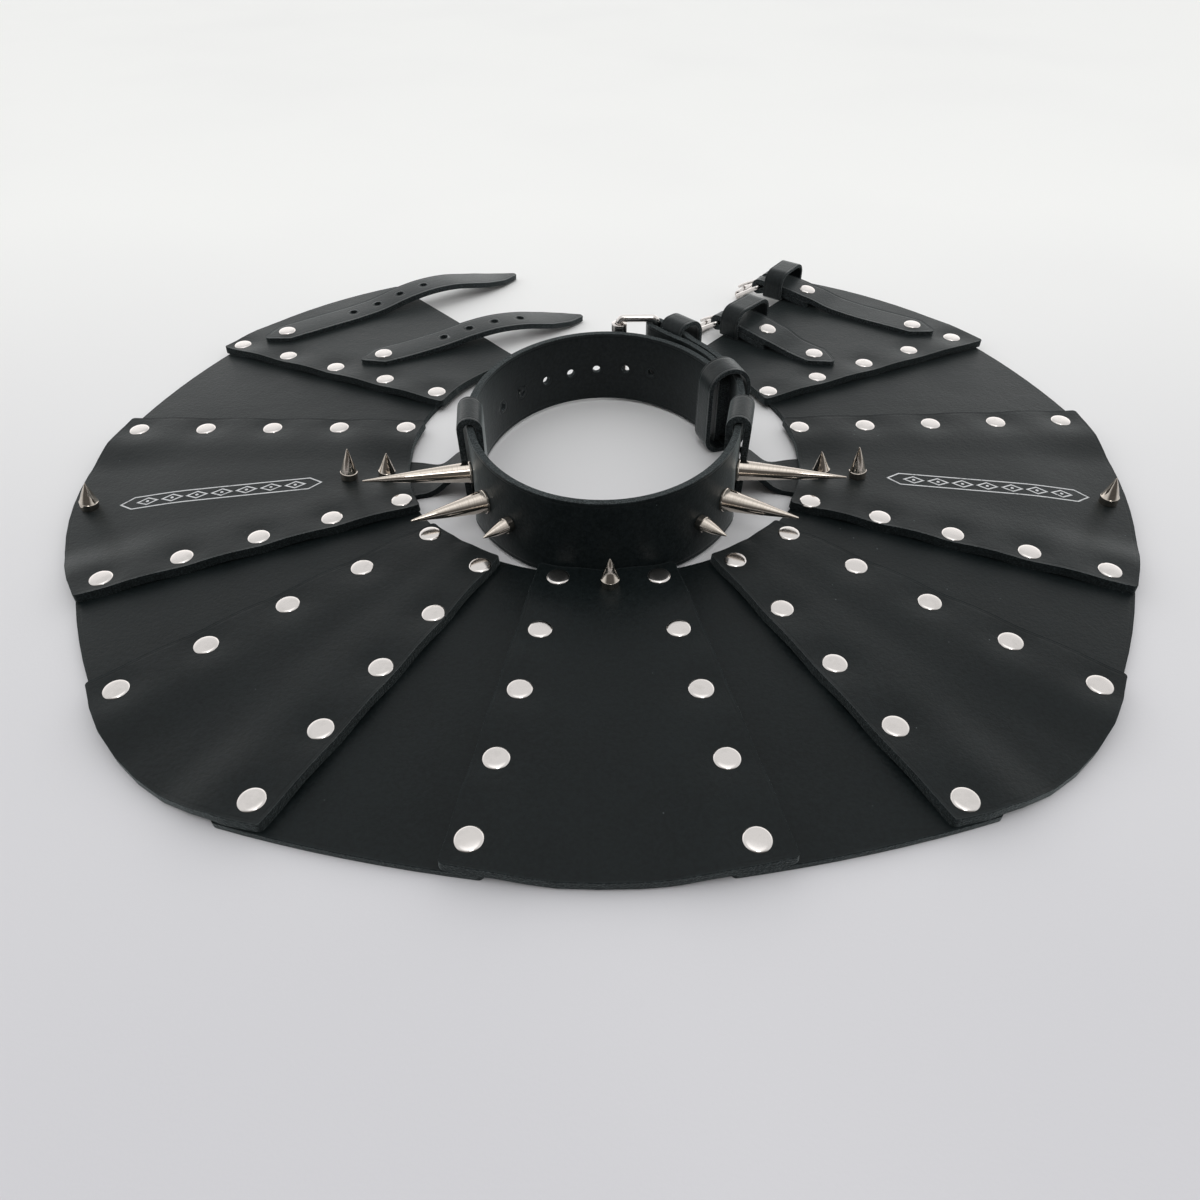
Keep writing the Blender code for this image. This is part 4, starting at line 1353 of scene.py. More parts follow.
@dataclass
class Ornament:
    """A printed border of lozenges and dots between two long lines."""

    inner: Point = (134.0, -39.0)
    outer: Point = (225.0, -54.0)
    width: float = 9.5
    line: float = 0.7
    count: int = 7
    lift: float = 0.07
    point: float = 6.0
    margin: float = 7.0
    lozenge_reach: float = 0.46
    lozenge_height: float = 0.62
    dot: float = 0.75
    dot_segments: int = 16
    cell: int = 4
    paint: float = 0.12

    def build(self, shop: Workshop, side: Side, relief: Relief) -> None:
        """Prints it on a shoulder plate.

        Args:
            shop: makes the piece.
            side: the side of the mantle.
            relief: the plate's relief.
        """
        first = Vector((side.value * self.inner[0], self.inner[1] + MANTLE_Y))
        last = Vector((side.value * self.outer[0], self.outer[1] + MANTLE_Y))
        run = (last - first).normalized()
        across = Vector((-run.y, run.x))
        length = (last - first).length
        work = bmesh.new()
        half = 0.5 * self.width
        start, end = self.point, length - self.point
        border = [(0.0, 0.0), (start, -half), (end, -half), (length, 0.0), (end, half), (start, half)]
        self._frame(work, border)
        pitch = (length - 2.0 * self.margin) / self.count
        reach = self.lozenge_reach * pitch
        height = self.lozenge_height * half
        for index in range(self.count):
            middle = self.margin + pitch * (index + 0.5)
            lozenge = [(middle - reach, 0.0), (middle, -height), (middle + reach, 0.0), (middle, height)]
            self._frame(work, lozenge)
            spot = Matrix.Translation((middle, 0.0, 0.0))
            bmesh.ops.create_circle(work, cap_ends=True, segments=self.dot_segments, radius=self.dot,
                                    matrix=spot)
        for level in range(self.cell, int(length), self.cell):
            everything = work.verts[:] + work.edges[:] + work.faces[:]
            bmesh.ops.bisect_plane(work, geom=everything, dist=1e-4, plane_co=(float(level), 0.0, 0.0),
                                   plane_no=(1.0, 0.0, 0.0))
        work.normal_update()
        bmesh.ops.reverse_faces(work, faces=[face for face in work.faces if face.normal.z < 0.0])
        spots = np.array([vert.co.xy for vert in work.verts], float)
        flat = np.array(first)[None] + spots[:, :1] * np.array(run) + spots[:, 1:] * np.array(across)
        level = relief.middle(flat) + 0.5 * relief.thickness + self.lift
        for vert, (x, y), z in zip(work.verts, flat, level):
            vert.co = Vector((x, y, z)) * MM
        item = shop.piece(work, f"ornament_{side.word}", Slot.LEATHER, material=shop.paint)
        wall = item.modifiers.new("print", "SOLIDIFY")
        wall.thickness = self.paint * MM
        wall.offset = -1.0

    def _frame(self, work: bmesh.types.BMesh, corners: Sequence[Point]) -> None:
        """A closed line round some corners.

        Args:
            work: the mesh that it joins.
            corners: the corners in order.
        """
        face = work.faces.new([work.verts.new((x, y, 0.0)) for x, y in corners])
        face.normal_update()
        bmesh.ops.inset_region(work, faces=[face], thickness=self.line, use_boundary=True,
                               use_even_offset=True)
        bmesh.ops.delete(work, geom=[face], context="FACES")


# ---------------------------------------------------------------------- the collar


class Lap(NamedTuple):
    """How far the buckle end lies off the ellipse at an angle, going out and once folded back."""

    angle: float
    outer: float
    folded: Optional[float]


class Layer(NamedTuple):
    """Where the two layers of the fold lie beside the keeper."""

    along: float
    outer: float
    folded: float


class CollarSpike(NamedTuple):
    """A pair of spikes: where they stand on the band, their size, their upward angle and their foot."""

    name: str
    y: float
    radius: float
    length: float
    height: float
    rise: float
    foot: float


@dataclass
class Collar:
    """The neck strap: one band round an ellipse whose buckle end laps outside its plain end."""

    a: float = 61.5
    b: float = 73.5
    y: float = -27.0
    low: tuple[float, float] = (1.5, 4.6)
    high: tuple[float, float] = (39.0, 40.6)
    leather: float = 3.0
    tail: float = 20.7
    lap_from: float = 348.0
    laps: tuple[Lap, ...] = (
        Lap(-12.0, 0.0, None), Lap(-6.0, 0.7, None), Lap(0.0, 2.0, None), Lap(6.0, 3.4, None),
        Lap(12.0, 5.0, None), Lap(17.0, 6.3, None), Lap(22.0, 7.1, 3.5), Lap(30.0, 7.4, 3.8),
        Lap(40.0, 7.9, 4.3), Lap(50.0, 8.6, 5.0),
    )
    fold_along: float = 12.0
    fold_across: float = -6.6
    fold_radius: float = 3.8
    fold_layers: tuple[Layer, ...] = (
        Layer(-7.0, -4.9, -10.75), Layer(0.0, -4.75, -10.95), Layer(7.0, -3.9, -10.8),
    )
    fold_steps: int = 18
    climb: Point = (0.25, 0.6)
    descent: Point = (0.2, 1.3)
    ring_steps: int = 220
    pitch: float = 1.5
    corners: tuple[float, ...] = (4.0, 3.0, 3.0, 4.0)
    keeper_xy: Point = (41.0, 50.0)
    keeper_heading: float = 133.0
    hole_from: float = 65.5
    hole_pitch: float = 13.9
    hole_count: int = 7
    hole_radius: float = 2.1
    hole_z: Point = (20.0, 16.7)
    lean: float = 3.8
    lean_end: float = 72.0
    lean_fade: float = 12.0
    lean_front: float = 30.0
    wave_height: float = 0.22
    wave_span: float = 23.0
    slot_half: float = 11.5
    slot_radius: float = 2.2
    spikes: tuple[CollarSpike, ...] = (
        CollarSpike("collar_spike_long", -52.0, 5.0, 48.0, 20.5, 6.0, 1.0),
        CollarSpike("collar_spike_medium", -72.0, 5.3, 34.5, 19.5, 6.0, 1.0),
        CollarSpike("collar_spike_short", -86.0, 3.5, 15.0, 18.5, 4.0, 3.0),
    )
    spike_steps: int = 56
    wire: float = 1.9
    frame_z: Point = (2.2, 43.0)
    reach: float = 19.5
    corner: float = 2.3
    roller: Point = (2.3, 4.0)
    roller_z: Point = (4.7, 40.5)
    roller_steps: int = 40
    prong_wire: float = 1.2
    prong_z: float = 22.6
    prong_gap: float = 0.4

    def normal(self, degrees: float, grow: float = 0.0) -> Vector:
        """The outward direction of the ellipse at an angle."""
        angle = math.radians(degrees)
        return Vector((math.cos(angle) / (self.a + grow), math.sin(angle) / (self.b + grow))).normalized()

    def point(self, degrees: float, offset: float, grow: float = 0.0) -> Vector:
        """A plan point on the ellipse, moved outward by an offset.

        Args:
            degrees: the angle.
            offset: how far outward.
            grow: how much larger the ellipse is.

        Returns:
            The point.
        """
        angle = math.radians(degrees)
        x = (self.a + grow) * math.cos(angle)
        y = self.y + MANTLE_Y + (self.b + grow) * math.sin(angle)
        return Vector((x, y)) + self.normal(degrees, grow) * offset

    def by_keeper(self, along: float, across: float) -> Vector:
        """A plan point beside the buckle's keeper.

        Args:
            along: how far along the strap.
            across: how far across it.

        Returns:
            The point.
        """
        centre = Vector((self.keeper_xy[0], self.keeper_xy[1] + MANTLE_Y, 0.0))
        ahead = heading_vector(self.keeper_heading) * along
        aside = heading_vector(self.keeper_heading - 90.0) * across
        return (centre + ahead + aside).xy

    def out(self, degrees: float) -> float:
        """How far the band's lower edge stands out: on both sides of the front, up to the links.

        Args:
            degrees: the angle on the ellipse.

        Returns:
            The distance in millimetres.
        """
        away = abs((degrees + 90.0 + 180.0) % 360.0 - 180.0)
        share = held((self.lean_end - away) / self.lean_fade) * held(away / self.lean_front)
        return self.lean * share * share * (3.0 - 2.0 * share)

    def _path(self) -> tuple[np.ndarray, np.ndarray, np.ndarray]:
        """The strap's centre line: points, rises towards the buckle and leans of the lower edge.

        Returns:
            Points, rises and leans, one a row.
        """
        span = self.lap_from - self.tail
        angles = [self.tail + span * step / self.ring_steps for step in range(self.ring_steps)]
        ring = [self.point(angle, 0.0) for angle in angles]
        lap = [self.point(lap_at.angle, lap_at.outer) for lap_at in self.laps]
        lap += [self.by_keeper(layer.along, layer.outer) for layer in self.fold_layers]
        lap = smooth_path(lap, self.pitch)
        fold = []
        for step in range(self.fold_steps + 1):
            angle = math.radians(90.0 - 180.0 * step / self.fold_steps)
            fold.append(self.by_keeper(self.fold_along + self.fold_radius * math.cos(angle),
                                       self.fold_across + self.fold_radius * math.sin(angle)))
        back = [self.by_keeper(layer.along, layer.folded) for layer in reversed(self.fold_layers)]
        back += [self.point(lap_at.angle, lap_at.folded) for lap_at in reversed(self.laps)
                 if lap_at.folded is not None]
        back = smooth_path(back, self.pitch)
        rises = [0.0] * len(ring)
        start, run = self.climb
        rises += [held((index / (len(lap) - 1) - start) / run) for index in range(len(lap))]
        rises += [1.0] * len(fold)
        start, run = self.descent
        rises += [held(1.0 - (index / (len(back) - 1) - start) / run) for index in range(len(back))]
        points = np.array([tuple(point) for point in ring + lap + fold + back])
        leans = np.zeros((len(points), 2))
        leans[:len(ring)] = [tuple(self.normal(angle) * self.out(angle)) for angle in angles]
        return points, np.array(rises), leans

    def build(self, shop: Workshop) -> None:
        """Makes the band, its spikes and its buckle.

        Args:
            shop: makes the pieces.
        """
        self._band(shop)
        self._spikes(shop)
        self._buckle(shop)

    def _band(self, shop: Workshop) -> None:
        """The leather band with its holes and the slot of its prong.

        Args:
            shop: makes the piece.
        """
        points, rises, leans = self._path()
        run = path_run(points)
        height = self.high[0] - self.low[0]

        def along(target: Vector) -> float:
            """How far along the strap a plan point is."""
            return float(run[np.argmin(np.hypot(*(points - np.array(target)).T))])

        punches = []
        for index in range(self.hole_count):
            spot = self.point(self.hole_from + self.hole_pitch * index, 0.0)
            level = self.hole_z[0] + (self.hole_z[1] - self.hole_z[0]) * index / (self.hole_count - 1)
            punches.append(Punch(along(spot), level - self.low[0], self.hole_radius))
        fold_at = along(self.by_keeper(self.fold_along + self.fold_radius, self.fold_across))
        share = (self.prong_z - self.low[1]) / (self.high[1] - self.low[1])
        punches.append(Punch(fold_at, share * height, self.slot_radius, self.slot_half))
        length = float(run[-1])
        edge = [(0.0, 0.0), (length, 0.0), (length, height), (0.0, height)]
        outline = rounded(edge, self.corners)
        work = Blank(outline, crease=1.3, cell=(2.6, 5.0), punches=punches, weld=0.05).cut()

        def wrap(spots: np.ndarray) -> np.ndarray:
            """Round the neck and back through the buckle.

            Args:
                spots: spots on the flat band.

            Returns:
                Their positions.
            """
            sunk = 1.0 - spots[:, 1] / height
            x = np.interp(spots[:, 0], run, points[:, 0]) + np.interp(spots[:, 0], run, leans[:, 0]) * sunk
            y = np.interp(spots[:, 0], run, points[:, 1]) + np.interp(spots[:, 0], run, leans[:, 1]) * sunk
            rise = np.interp(spots[:, 0], run, rises)
            low = self.low[0] + (self.low[1] - self.low[0]) * rise
            high = self.high[0] + (self.high[1] - self.high[0]) * rise
            wave = self.wave_height * np.sin(spots[:, 0] / self.wave_span) * (spots[:, 1] / height)
            return np.column_stack((x, y, low + (high - low) * spots[:, 1] / height + wave))

        bend(work, wrap)
        shop.leather_piece(work, "collar_leather", self.leather, ["collar_band"], rounding=0.6, creased=True)

    def _spikes(self, shop: Workshop) -> None:
        """The cone spikes that stand out of the collar.

        Args:
            shop: makes the pieces.
        """
        grow = 0.5 * self.leather
        for row in self.spikes:
            angle = math.degrees(math.asin((row.y - self.y) / (self.b + grow)))
            lean = max(self.out(angle), self.out(angle - math.degrees(row.radius / self.a)))
            share = (self.high[0] - row.height) / (self.high[0] - self.low[0])
            point = self.point(angle, lean * share, grow)
            outward = self.normal(angle, grow)
            shape = shop.turned(Spike(row.radius, row.length, row.foot).profile(), self.spike_steps)
            for side in Side:
                direction = Vector((side.value * outward.x, outward.y, math.tan(math.radians(row.rise))))
                spot = place((side.value * point.x, point.y, row.height), (0.0, 0.0, 1.0), direction)
                whole = f"{row.name}_{side.word}"
                shop.metal_piece(shape, [spot], whole + "_cone", nodes=[whole],
                                 material=shop.turned_nickel)

    def _buckle(self, shop: Workshop) -> None:
        """The roller buckle at the end of the fold.

        Args:
            shop: makes the pieces.
        """
        bar = self.by_keeper(self.fold_along, self.fold_across)
        low, high = self.frame_z
        corners = [(0.0, low), (self.reach, low), (self.reach, high), (0.0, high)]
        path = rounded(corners, (self.corner,) * 4, 8)
        upright = place((bar.x, bar.y, 0.0), (-1.0, 0.0, 0.0), (0.0, 1.0, 0.0))
        points = [Vector((along, up, 0.0)) for along, up in path]
        shop.wire_piece(points, self.wire, True, upright, "collar_buckle_wire", "collar_buckle",
                        ["collar_buckle_frame"])
        inner, outer = self.roller
        bottom, top = self.roller_z
        tube = roller_profile(inner, outer, bottom, top)
        spot = Matrix.Translation((bar.x - self.reach, bar.y, 0.0))
        shop.metal_piece(shop.turned(tube, self.roller_steps), [spot], "collar_buckle_tube", "collar_roller",
                         ["collar_buckle_roller"])
        ring = self.wire + self.prong_wire + self.prong_gap
        lift = outer + self.prong_wire + PRONG_CLEARANCE
        flat = Matrix.Translation((bar.x, bar.y, self.prong_z)) @ Matrix.Scale(-1.0, 4, (1.0, 0.0, 0.0))
        shop.wire_piece(prong_path(ring, lift, self.reach), self.prong_wire, False, flat,
                        "collar_buckle_tooth", "collar_prong", ["collar_buckle_prong"], sides=12)


def roller_profile(inner: float, outer: float, low: float, high: float) -> list[Point]:
    """A tube with rounded lips, as a closed outline of (radius, height).

    Args:
        inner: the inner radius.
        outer: the outer radius.
        low: the lower end.
        high: the upper end.

    Returns:
        The outline.
    """
    lip = min(0.35, 0.4 * (outer - inner))
    return [
        (outer, high - lip), (outer, low + lip), (outer - 0.3 * lip, low + 0.3 * lip), (outer - lip, low),
        (inner + lip, low), (inner, low + lip), (inner, high - lip), (inner + lip, high),
        (outer - lip, high), (outer - 0.3 * lip, high - 0.3 * lip), (outer, high - lip),
    ]


def prong_path(ring: float, lift: float, reach: float) -> list[Vector]:
    """A prong's centre line: a loop round the bar, then a shank that lies over the roller.

    Args:
        ring: the loop's radius.
        lift: the shank's height at the roller.
        reach: from the bar to the roller.

    Returns:
        The points in order.
    """
    made = []
    for step in range(28):
        angle = math.radians(-10.0 * step)
        made.append(Vector((ring * math.cos(angle), ring * math.sin(angle), 0.0)))
    shank = [made[-1], Vector((0.3 * reach, ring + 0.25 * (lift - ring), 0.0)),
             Vector((reach, lift, 0.0)), Vector((reach + 3.5, lift - 0.3, 0.0))]
    return made[:-1] + smooth_path(shank, 1.6)


# ---------------------------------------------------------------------- loops


@dataclass
class Loop:
    """A closed loop of leather that a strap runs through."""

    name: str
    half: float
    low: float
    high: float
    wall: float
    corner: float
    length: tuple[float, float]
    foot: float = 2.2
    pinch: float = 0.0
    far_corner: Optional[float] = None
    gap: float = 0.05

    def build(self, shop: Workshop, matrix: Matrix) -> None:
        """Makes the loop in a matrix with X across, Y up and Z along the strap.

        Args:
            shop: makes the piece.
            matrix: where it stands.
        """
        inset = 0.5 * self.wall
        half = self.half - inset
        waist = half - self.pinch
        low = self.low + inset
        high = self.high - inset
        corner = self.corner - inset
        far = corner if self.far_corner is None else self.far_corner - inset
        foot = max(1.0, self.foot - inset)
        edge = [(-waist, low), (waist, low), (half, high), (-half, high)]
        ring = rounded(edge, (foot, foot, far, corner), 10)
        start = next(index for index, point in enumerate(ring) if point[0] > 0.0)
        ring = [(0.0, low)] + ring[start:] + ring[:start] + [(0.0, low)]
        points = np.array(ring)
        run = path_run(points)
        total = float(run[-1])
        first, last = self.length
        start, end = self.gap, total - self.gap
        flat = [(start, first), (end, first), (end, last), (start, last)]
        work = Blank(flat, crease=0.9, cell=(1.4, 4.0)).cut()

        def close(spots: np.ndarray) -> np.ndarray:
            """Round into a loop.

            Args:
                spots: spots on the flat strip.

            Returns:
                Their positions.
            """
            x = np.interp(spots[:, 0], run, points[:, 0])
            y = np.interp(spots[:, 0], run, points[:, 1])
            local = np.column_stack((x, y, spots[:, 1], np.ones(len(spots))))
            return (local @ np.array(matrix).T)[:, :3]

        bend(work, close)
        shop.leather_piece(work, self.name + "_leather", self.wall, [self.name], rounding=0.4, creased=True)


def loop_matrix(point: Vector, heading_degrees: float) -> Matrix:
    """X across the strap, Y up and Z along the strap, at a plan point.

    Args:
        point: the plan point.
        heading_degrees: the strap's direction.

    Returns:
        The matrix.
    """
    along = heading_vector(heading_degrees)
    across = heading_vector(heading_degrees - 90.0)
    made = Matrix((across, Vector((0.0, 0.0, 1.0)), along)).transposed()
    if made.determinant() < 0.0:
        made = Matrix((across, Vector((0.0, 0.0, 1.0)), -along)).transposed()
    made = made.to_4x4()
    made.translation = Vector((point.x, point.y, 0.0))
    return made


@dataclass
class CollarLoops:
    """The two tall keepers of the collar and the links that join it to the mantle."""

    collar: Collar
    keeper_half: float = 8.9
    keeper_height: float = 45.0
    keeper_wall: float = 2.2
    keeper_corner: float = 5.4
    keeper_far_corner: float = 8.6
    big_half: float = 10.9
    big_corner: float = 10.7
    big_foot: float = 7.2
    keeper_length: float = 14.0
    big_angle: float = 22.0
    big_offset: float = 1.9
    link_half: float = 5.9
    link_height: float = 43.6
    link_wall: float = 3.1
    link_corner: float = 5.8
    link_pinch: dict[Side, float] = field(default_factory=lambda: {Side.RIGHT: 1.3, Side.LEFT: 0.6})
    link_length: float = 20.0
    link_from: float = -14.1
    link_to: float = 1.3
    link_out: float = 2.2
    link_shift: float = 0.35
    tab_thickness: float = 2.5
    tab_gap: float = 0.05
    tab_rise: float = 13.0
    tab_run: float = 22.0
    tab: tuple[Point, ...] = (
        (65.2, -44.6), (70.0, -44.3), (76.0, -42.8), (86.0, -44.3), (95.0, -47.2), (101.5, -46.8),
        (104.5, -43.0), (107.0, -35.0), (107.8, -27.0), (106.5, -21.0), (101.0, -17.6), (93.0, -17.6),
        (84.0, -19.7), (76.0, -23.6), (70.0, -25.2), (65.2, -25.6),
    )

    def build(self, shop: Workshop) -> None:
        """Makes the keepers, then the links with their tabs.

        Args:
            shop: makes the pieces.
        """
        reach = 0.5 * self.keeper_length
        sizes = (0.0, self.keeper_height, self.keeper_wall)
        outward = self.collar.normal(self.big_angle)
        heading = math.degrees(math.atan2(outward.y, outward.x)) + 90.0
        big = self.collar.point(self.big_angle, self.big_offset)
        Loop("collar_keeper_inner", self.big_half, *sizes, self.big_corner, (-reach, reach),
             self.big_foot).build(shop, loop_matrix(big, heading))
        slim = loop_matrix(self.collar.by_keeper(0.0, 0.0), self.collar.keeper_heading)
        Loop("collar_keeper_outer", self.keeper_half, *sizes, self.keeper_corner, (-reach, reach),
             far_corner=self.keeper_far_corner).build(shop, slim)
        for side in Side:
            self._link(shop, side)

    def _link(self, shop: Workshop, side: Side) -> None:
        """One link and the tab that holds it under the mantle.

        Args:
            shop: makes the pieces.
            side: the side of the collar.
        """
        near = self.collar.point(self.link_from, 0.0)
        far = self.collar.point(self.link_to, self.link_out if side is Side.RIGHT else 0.0)
        chord = far - near
        heading = math.degrees(math.atan2(chord.y, side.value * chord.x))
        middle = (near + far) * 0.5 + Vector((self.link_shift, 0.0))
        middle.x *= side.value
        reach = 0.5 * self.link_length
        name = f"link_loop_{side.word}"
        loop = Loop(name, self.link_half, 0.0, self.link_height, self.link_wall, self.link_corner,
                    (-reach, reach), pinch=self.link_pinch[side])
        loop.build(shop, loop_matrix(middle, heading))
        points = [Vector((side.value * x, y + MANTLE_Y)) for x, y in self.tab]
        edge = [tuple(point) for point in smooth_path(points, 2.5)]
        work = Blank(edge, crease=1.0, cell=(5.0, 5.0)).cut()
        level = 0.5 * self.tab_thickness + self.tab_gap

        def lie(spots: np.ndarray) -> np.ndarray:
            """Flat on the table, and curving up to the link."""
            near = 1.0 - eased((np.abs(spots[:, 0]) - self.tab[0][0]) / self.tab_run)
            return np.column_stack((spots, level + self.tab_rise * near ** 1.5))

        bend(work, lie)
        shop.leather_piece(work, f"link_tab_{side.word}", self.tab_thickness)


# ---------------------------------------------------------------------- the straps


def side_view(knots: Sequence[Point], where: np.ndarray) -> np.ndarray:
    """Heights of a smooth line through (along, z) knots.

    Args:
        knots: the points that it runs through.
        where: places along it.

    Returns:
        One height for each place.
    """
    x = np.array([knot[0] for knot in knots])
    z = np.array([knot[1] for knot in knots])
    order = np.argsort(x)
    x, z = x[order], z[order]
    slope = np.gradient(z, x)
    index = np.clip(np.searchsorted(x, where) - 1, 0, len(x) - 2)
    span = x[index + 1] - x[index]
    t = np.clip((where - x[index]) / span, 0.0, 1.0)
    return ((2 * t ** 3 - 3 * t ** 2 + 1) * z[index] + (t ** 3 - 2 * t ** 2 + t) * span * slope[index]
            + (3 * t ** 2 - 2 * t ** 3) * z[index + 1] + (t ** 3 - t ** 2) * span * slope[index + 1])


@dataclass
class Tongue:
    """A plain strap with holes, riveted at one end and lying free at the other."""

    name: str
    rivet: Point
    heading: float
    taper: float
    tip: float
    holes: tuple[float, ...]
    knots: tuple[Point, ...]
    half: float = 9.5
    hole_radius: float = 2.2
    point: float = 15.5
    leather: float = 3.2
    crown: float = 0.25
    crown_turn: float = 1.4
    crown_sink: float = 0.2

    def build(self, shop: Workshop, rivets: Rivets) -> None:
        """Makes the strap and its rivet.

        Args:
            shop: makes the pieces.
            rivets: the rivet caps.
        """
        half = self.half
        shoulder = self.taper + 0.55 * (self.tip - self.taper)
        edge = [(-self.point, 0.0), (-2.0, -half), (self.taper, -half), (shoulder, -0.72 * half),
                (self.tip, -0.18 * half), (self.tip, 0.18 * half), (shoulder, 0.72 * half),
                (self.taper, half), (-2.0, half)]
        outline = rounded(edge, (3.0, 3.0, 10.0, 12.0, 1.5, 1.5, 12.0, 10.0, 3.0))
        punches = [Punch(hole, 0.0, self.hole_radius) for hole in self.holes]
        work = Blank(outline, crease=1.1, cell=(3.5, 4.0), punches=punches).cut()
        along = heading_vector(self.heading)
        across = heading_vector(self.heading + 90.0)
        origin = Vector((self.rivet[0], self.rivet[1] + MANTLE_Y, 0.0))

        def lie(spots: np.ndarray) -> np.ndarray:
            """Over the back plate and down to the table.

            Args:
                spots: spots on the flat strap.

            Returns:
                Their positions.
            """
            crown = self.crown * np.cos(spots[:, 1] / half * self.crown_turn) - self.crown_sink
            level = side_view(self.knots, spots[:, 0]) + crown
            flat = np.array(origin) + spots[:, :1] * np.array(along) + spots[:, 1:] * np.array(across)
            flat[:, 2] = level
            return flat

        bend(work, lie)
        shop.leather_piece(work, self.name + "_leather", self.leather, [self.name], creased=True)
        top = float(side_view(self.knots, np.array([0.0]))[0]) + 0.5 * self.leather
        rivets.build(shop, self.name + "_rivet", [Matrix.Translation((origin.x, origin.y, top))])


@dataclass
class BuckleStrap:
    """A short strap folded back round its buckle's bar, with a keeper, buckle, roller and prong."""

    word: str
    rivet: Point
    heading: float
    length: float
    flare: float
    keeper_half: float
    keeper_shift: float
    keeper_top: float
    half: float = 9.5
    leather: float = 3.1
    point: float = 15.5
    stations: int = 20
    flare_from: float = 2.0
    flare_run: float = 12.0
    flare_end: float = 48.0
    flare_fade: float = 14.0
    second: float = -29.8
    fold_z: float = 11.6
    fold_radius: float = 3.05
    slot_half: float = 5.9
    slot_radius: float = 1.8
    upper: tuple[Point, ...] = ((-36.0, 11.4), (-30.0, 12.1), (-24.0, 13.1), (-17.0, 13.9), (-10.0, 14.4),
                                (-5.0, 14.6), (0.0, 14.65))
    lower: tuple[Point, ...] = ((0.0, 8.55), (-2.5, 9.4), (-5.0, 10.4), (-10.0, 10.6), (-17.0, 10.45),
                                (-24.0, 9.5), (-30.0, 8.5), (-36.0, 8.1))
    keeper_u: tuple[float, float] = (-17.2, -4.9)
    keeper_low: float = 6.65
    keeper_wall: float = 1.9
    keeper_corner: float = 7.6
    wire: float = 1.25
    frame_half: float = 11.25
    reach: float = 16.5
    corner: float = 1.7
    roller: Point = (1.55, 2.6)
    roller_half: float = 9.35
    roller_z: float = 2.7
    roller_steps: int = 36
    prong_wire: float = 0.9
    prong_ring: float = 2.45

    @property
    def bar(self) -> Vector:
        """The middle of the buckle's bar."""
        spot = Vector((self.rivet[0], self.rivet[1] + MANTLE_Y, self.fold_z))
        return spot + heading_vector(self.heading) * self.length

    def build(self, shop: Workshop, rivets: Rivets) -> None:
        """Makes the strap, its rivets, its keeper and its buckle.

        Args:
            shop: makes the pieces.
            rivets: the rivet caps.
        """
        self._strap(shop, rivets)
        self._keeper(shop)
        self._buckle(shop)

    def _upper_knots(self) -> list[Point]:
        """The upper layer's side view from the pointed end to the bar.

        Returns:
            Its (along, z) points.
        """
        rest = self.lower[-1][1]
        start = -self.length
        lead = [(start - 20.0, rest), (start + 6.0, rest)]
        if self.length > 80.0:
            lead += [(-60.0, rest), (-48.0, rest + 0.9)]
        else:
            lead += [(-50.0, rest + 0.5)]
        return lead + list(self.upper)

    def _strap(self, shop: Workshop, rivets: Rivets) -> None:
        """The folded strap.

        Args:
            shop: makes the pieces.
            rivets: the rivet caps.
        """
        start = -self.length
        fold = math.pi * self.fold_radius
        end = fold - self.lower[-1][0]
        count = self.stations
        stations = [start - 2.0 + (end - start + 2.0) * step / count for step in range(count + 1)]
        away = np.abs(np.array(stations) - 0.5 * fold) - 0.5 * fold
        flare = self.flare * eased((away - self.flare_from) / self.flare_run)
        fade = np.where(np.array(stations) > fold, 1.0, eased((self.flare_end - away) / self.flare_fade))
        near = [(u, -float(w)) for u, w in zip(stations, self.half + flare * fade)]
        edge = [(start - self.point, 0.0), *near, *((u, -w) for u, w in reversed(near))]
        turns = (3.0,) + (0.0,) * (count - 1) + (2.0,)
        outline = rounded(edge, (3.0, *turns, *reversed(turns)))
        slot = Punch(0.5 * fold, 0.0, self.slot_radius, self.slot_half)
        work = Blank(outline, crease=1.1, cell=(1.6, 4.0), punches=[slot]).cut()
        along = np.array(heading_vector(self.heading))
        across = np.array(heading_vector(self.heading + 90.0))
        knots = self._upper_knots()
        bar = np.array(self.bar)

        def fold_back(spots: np.ndarray) -> np.ndarray:
            """Up over the bar, round it and back underneath.

            Args:
                spots: spots on the flat strap.

            Returns:
                Their positions.
            """
            s = spots[:, 0]
            angle = 0.5 * math.pi - np.clip(s, 0.0, fold) / self.fold_radius
            u = np.where(s <= 0.0, s, np.where(s < fold, self.fold_radius * np.cos(angle), fold - s))
            bent = self.fold_z + self.fold_radius * np.sin(angle)
            under = side_view(self.lower, fold - s)
            z = np.where(s <= 0.0, side_view(knots, s), np.where(s < fold, bent, under))
            made = bar + u[:, None] * along + spots[:, 1:] * across
            made[:, 2] = z
            return made

        bend(work, fold_back)
        name = f"buckle_strap_{self.word}"
        shop.leather_piece(work, name + "_leather", self.leather, [name], creased=True)
        places = []
        for u in (start, self.second):
            level = side_view(knots, np.array([u - 3.0, u, u + 3.0]))
            spot = bar + u * along
            tilt = math.atan2(float(level[2] - level[0]), 6.0)
            up = Vector((0.0, 0.0, math.cos(tilt))) - Vector(along) * math.sin(tilt)
            places.append(place((spot[0], spot[1], float(level[1]) + 0.5 * self.leather), along, up))
        rivets.build(shop, name + "_rivets", places)

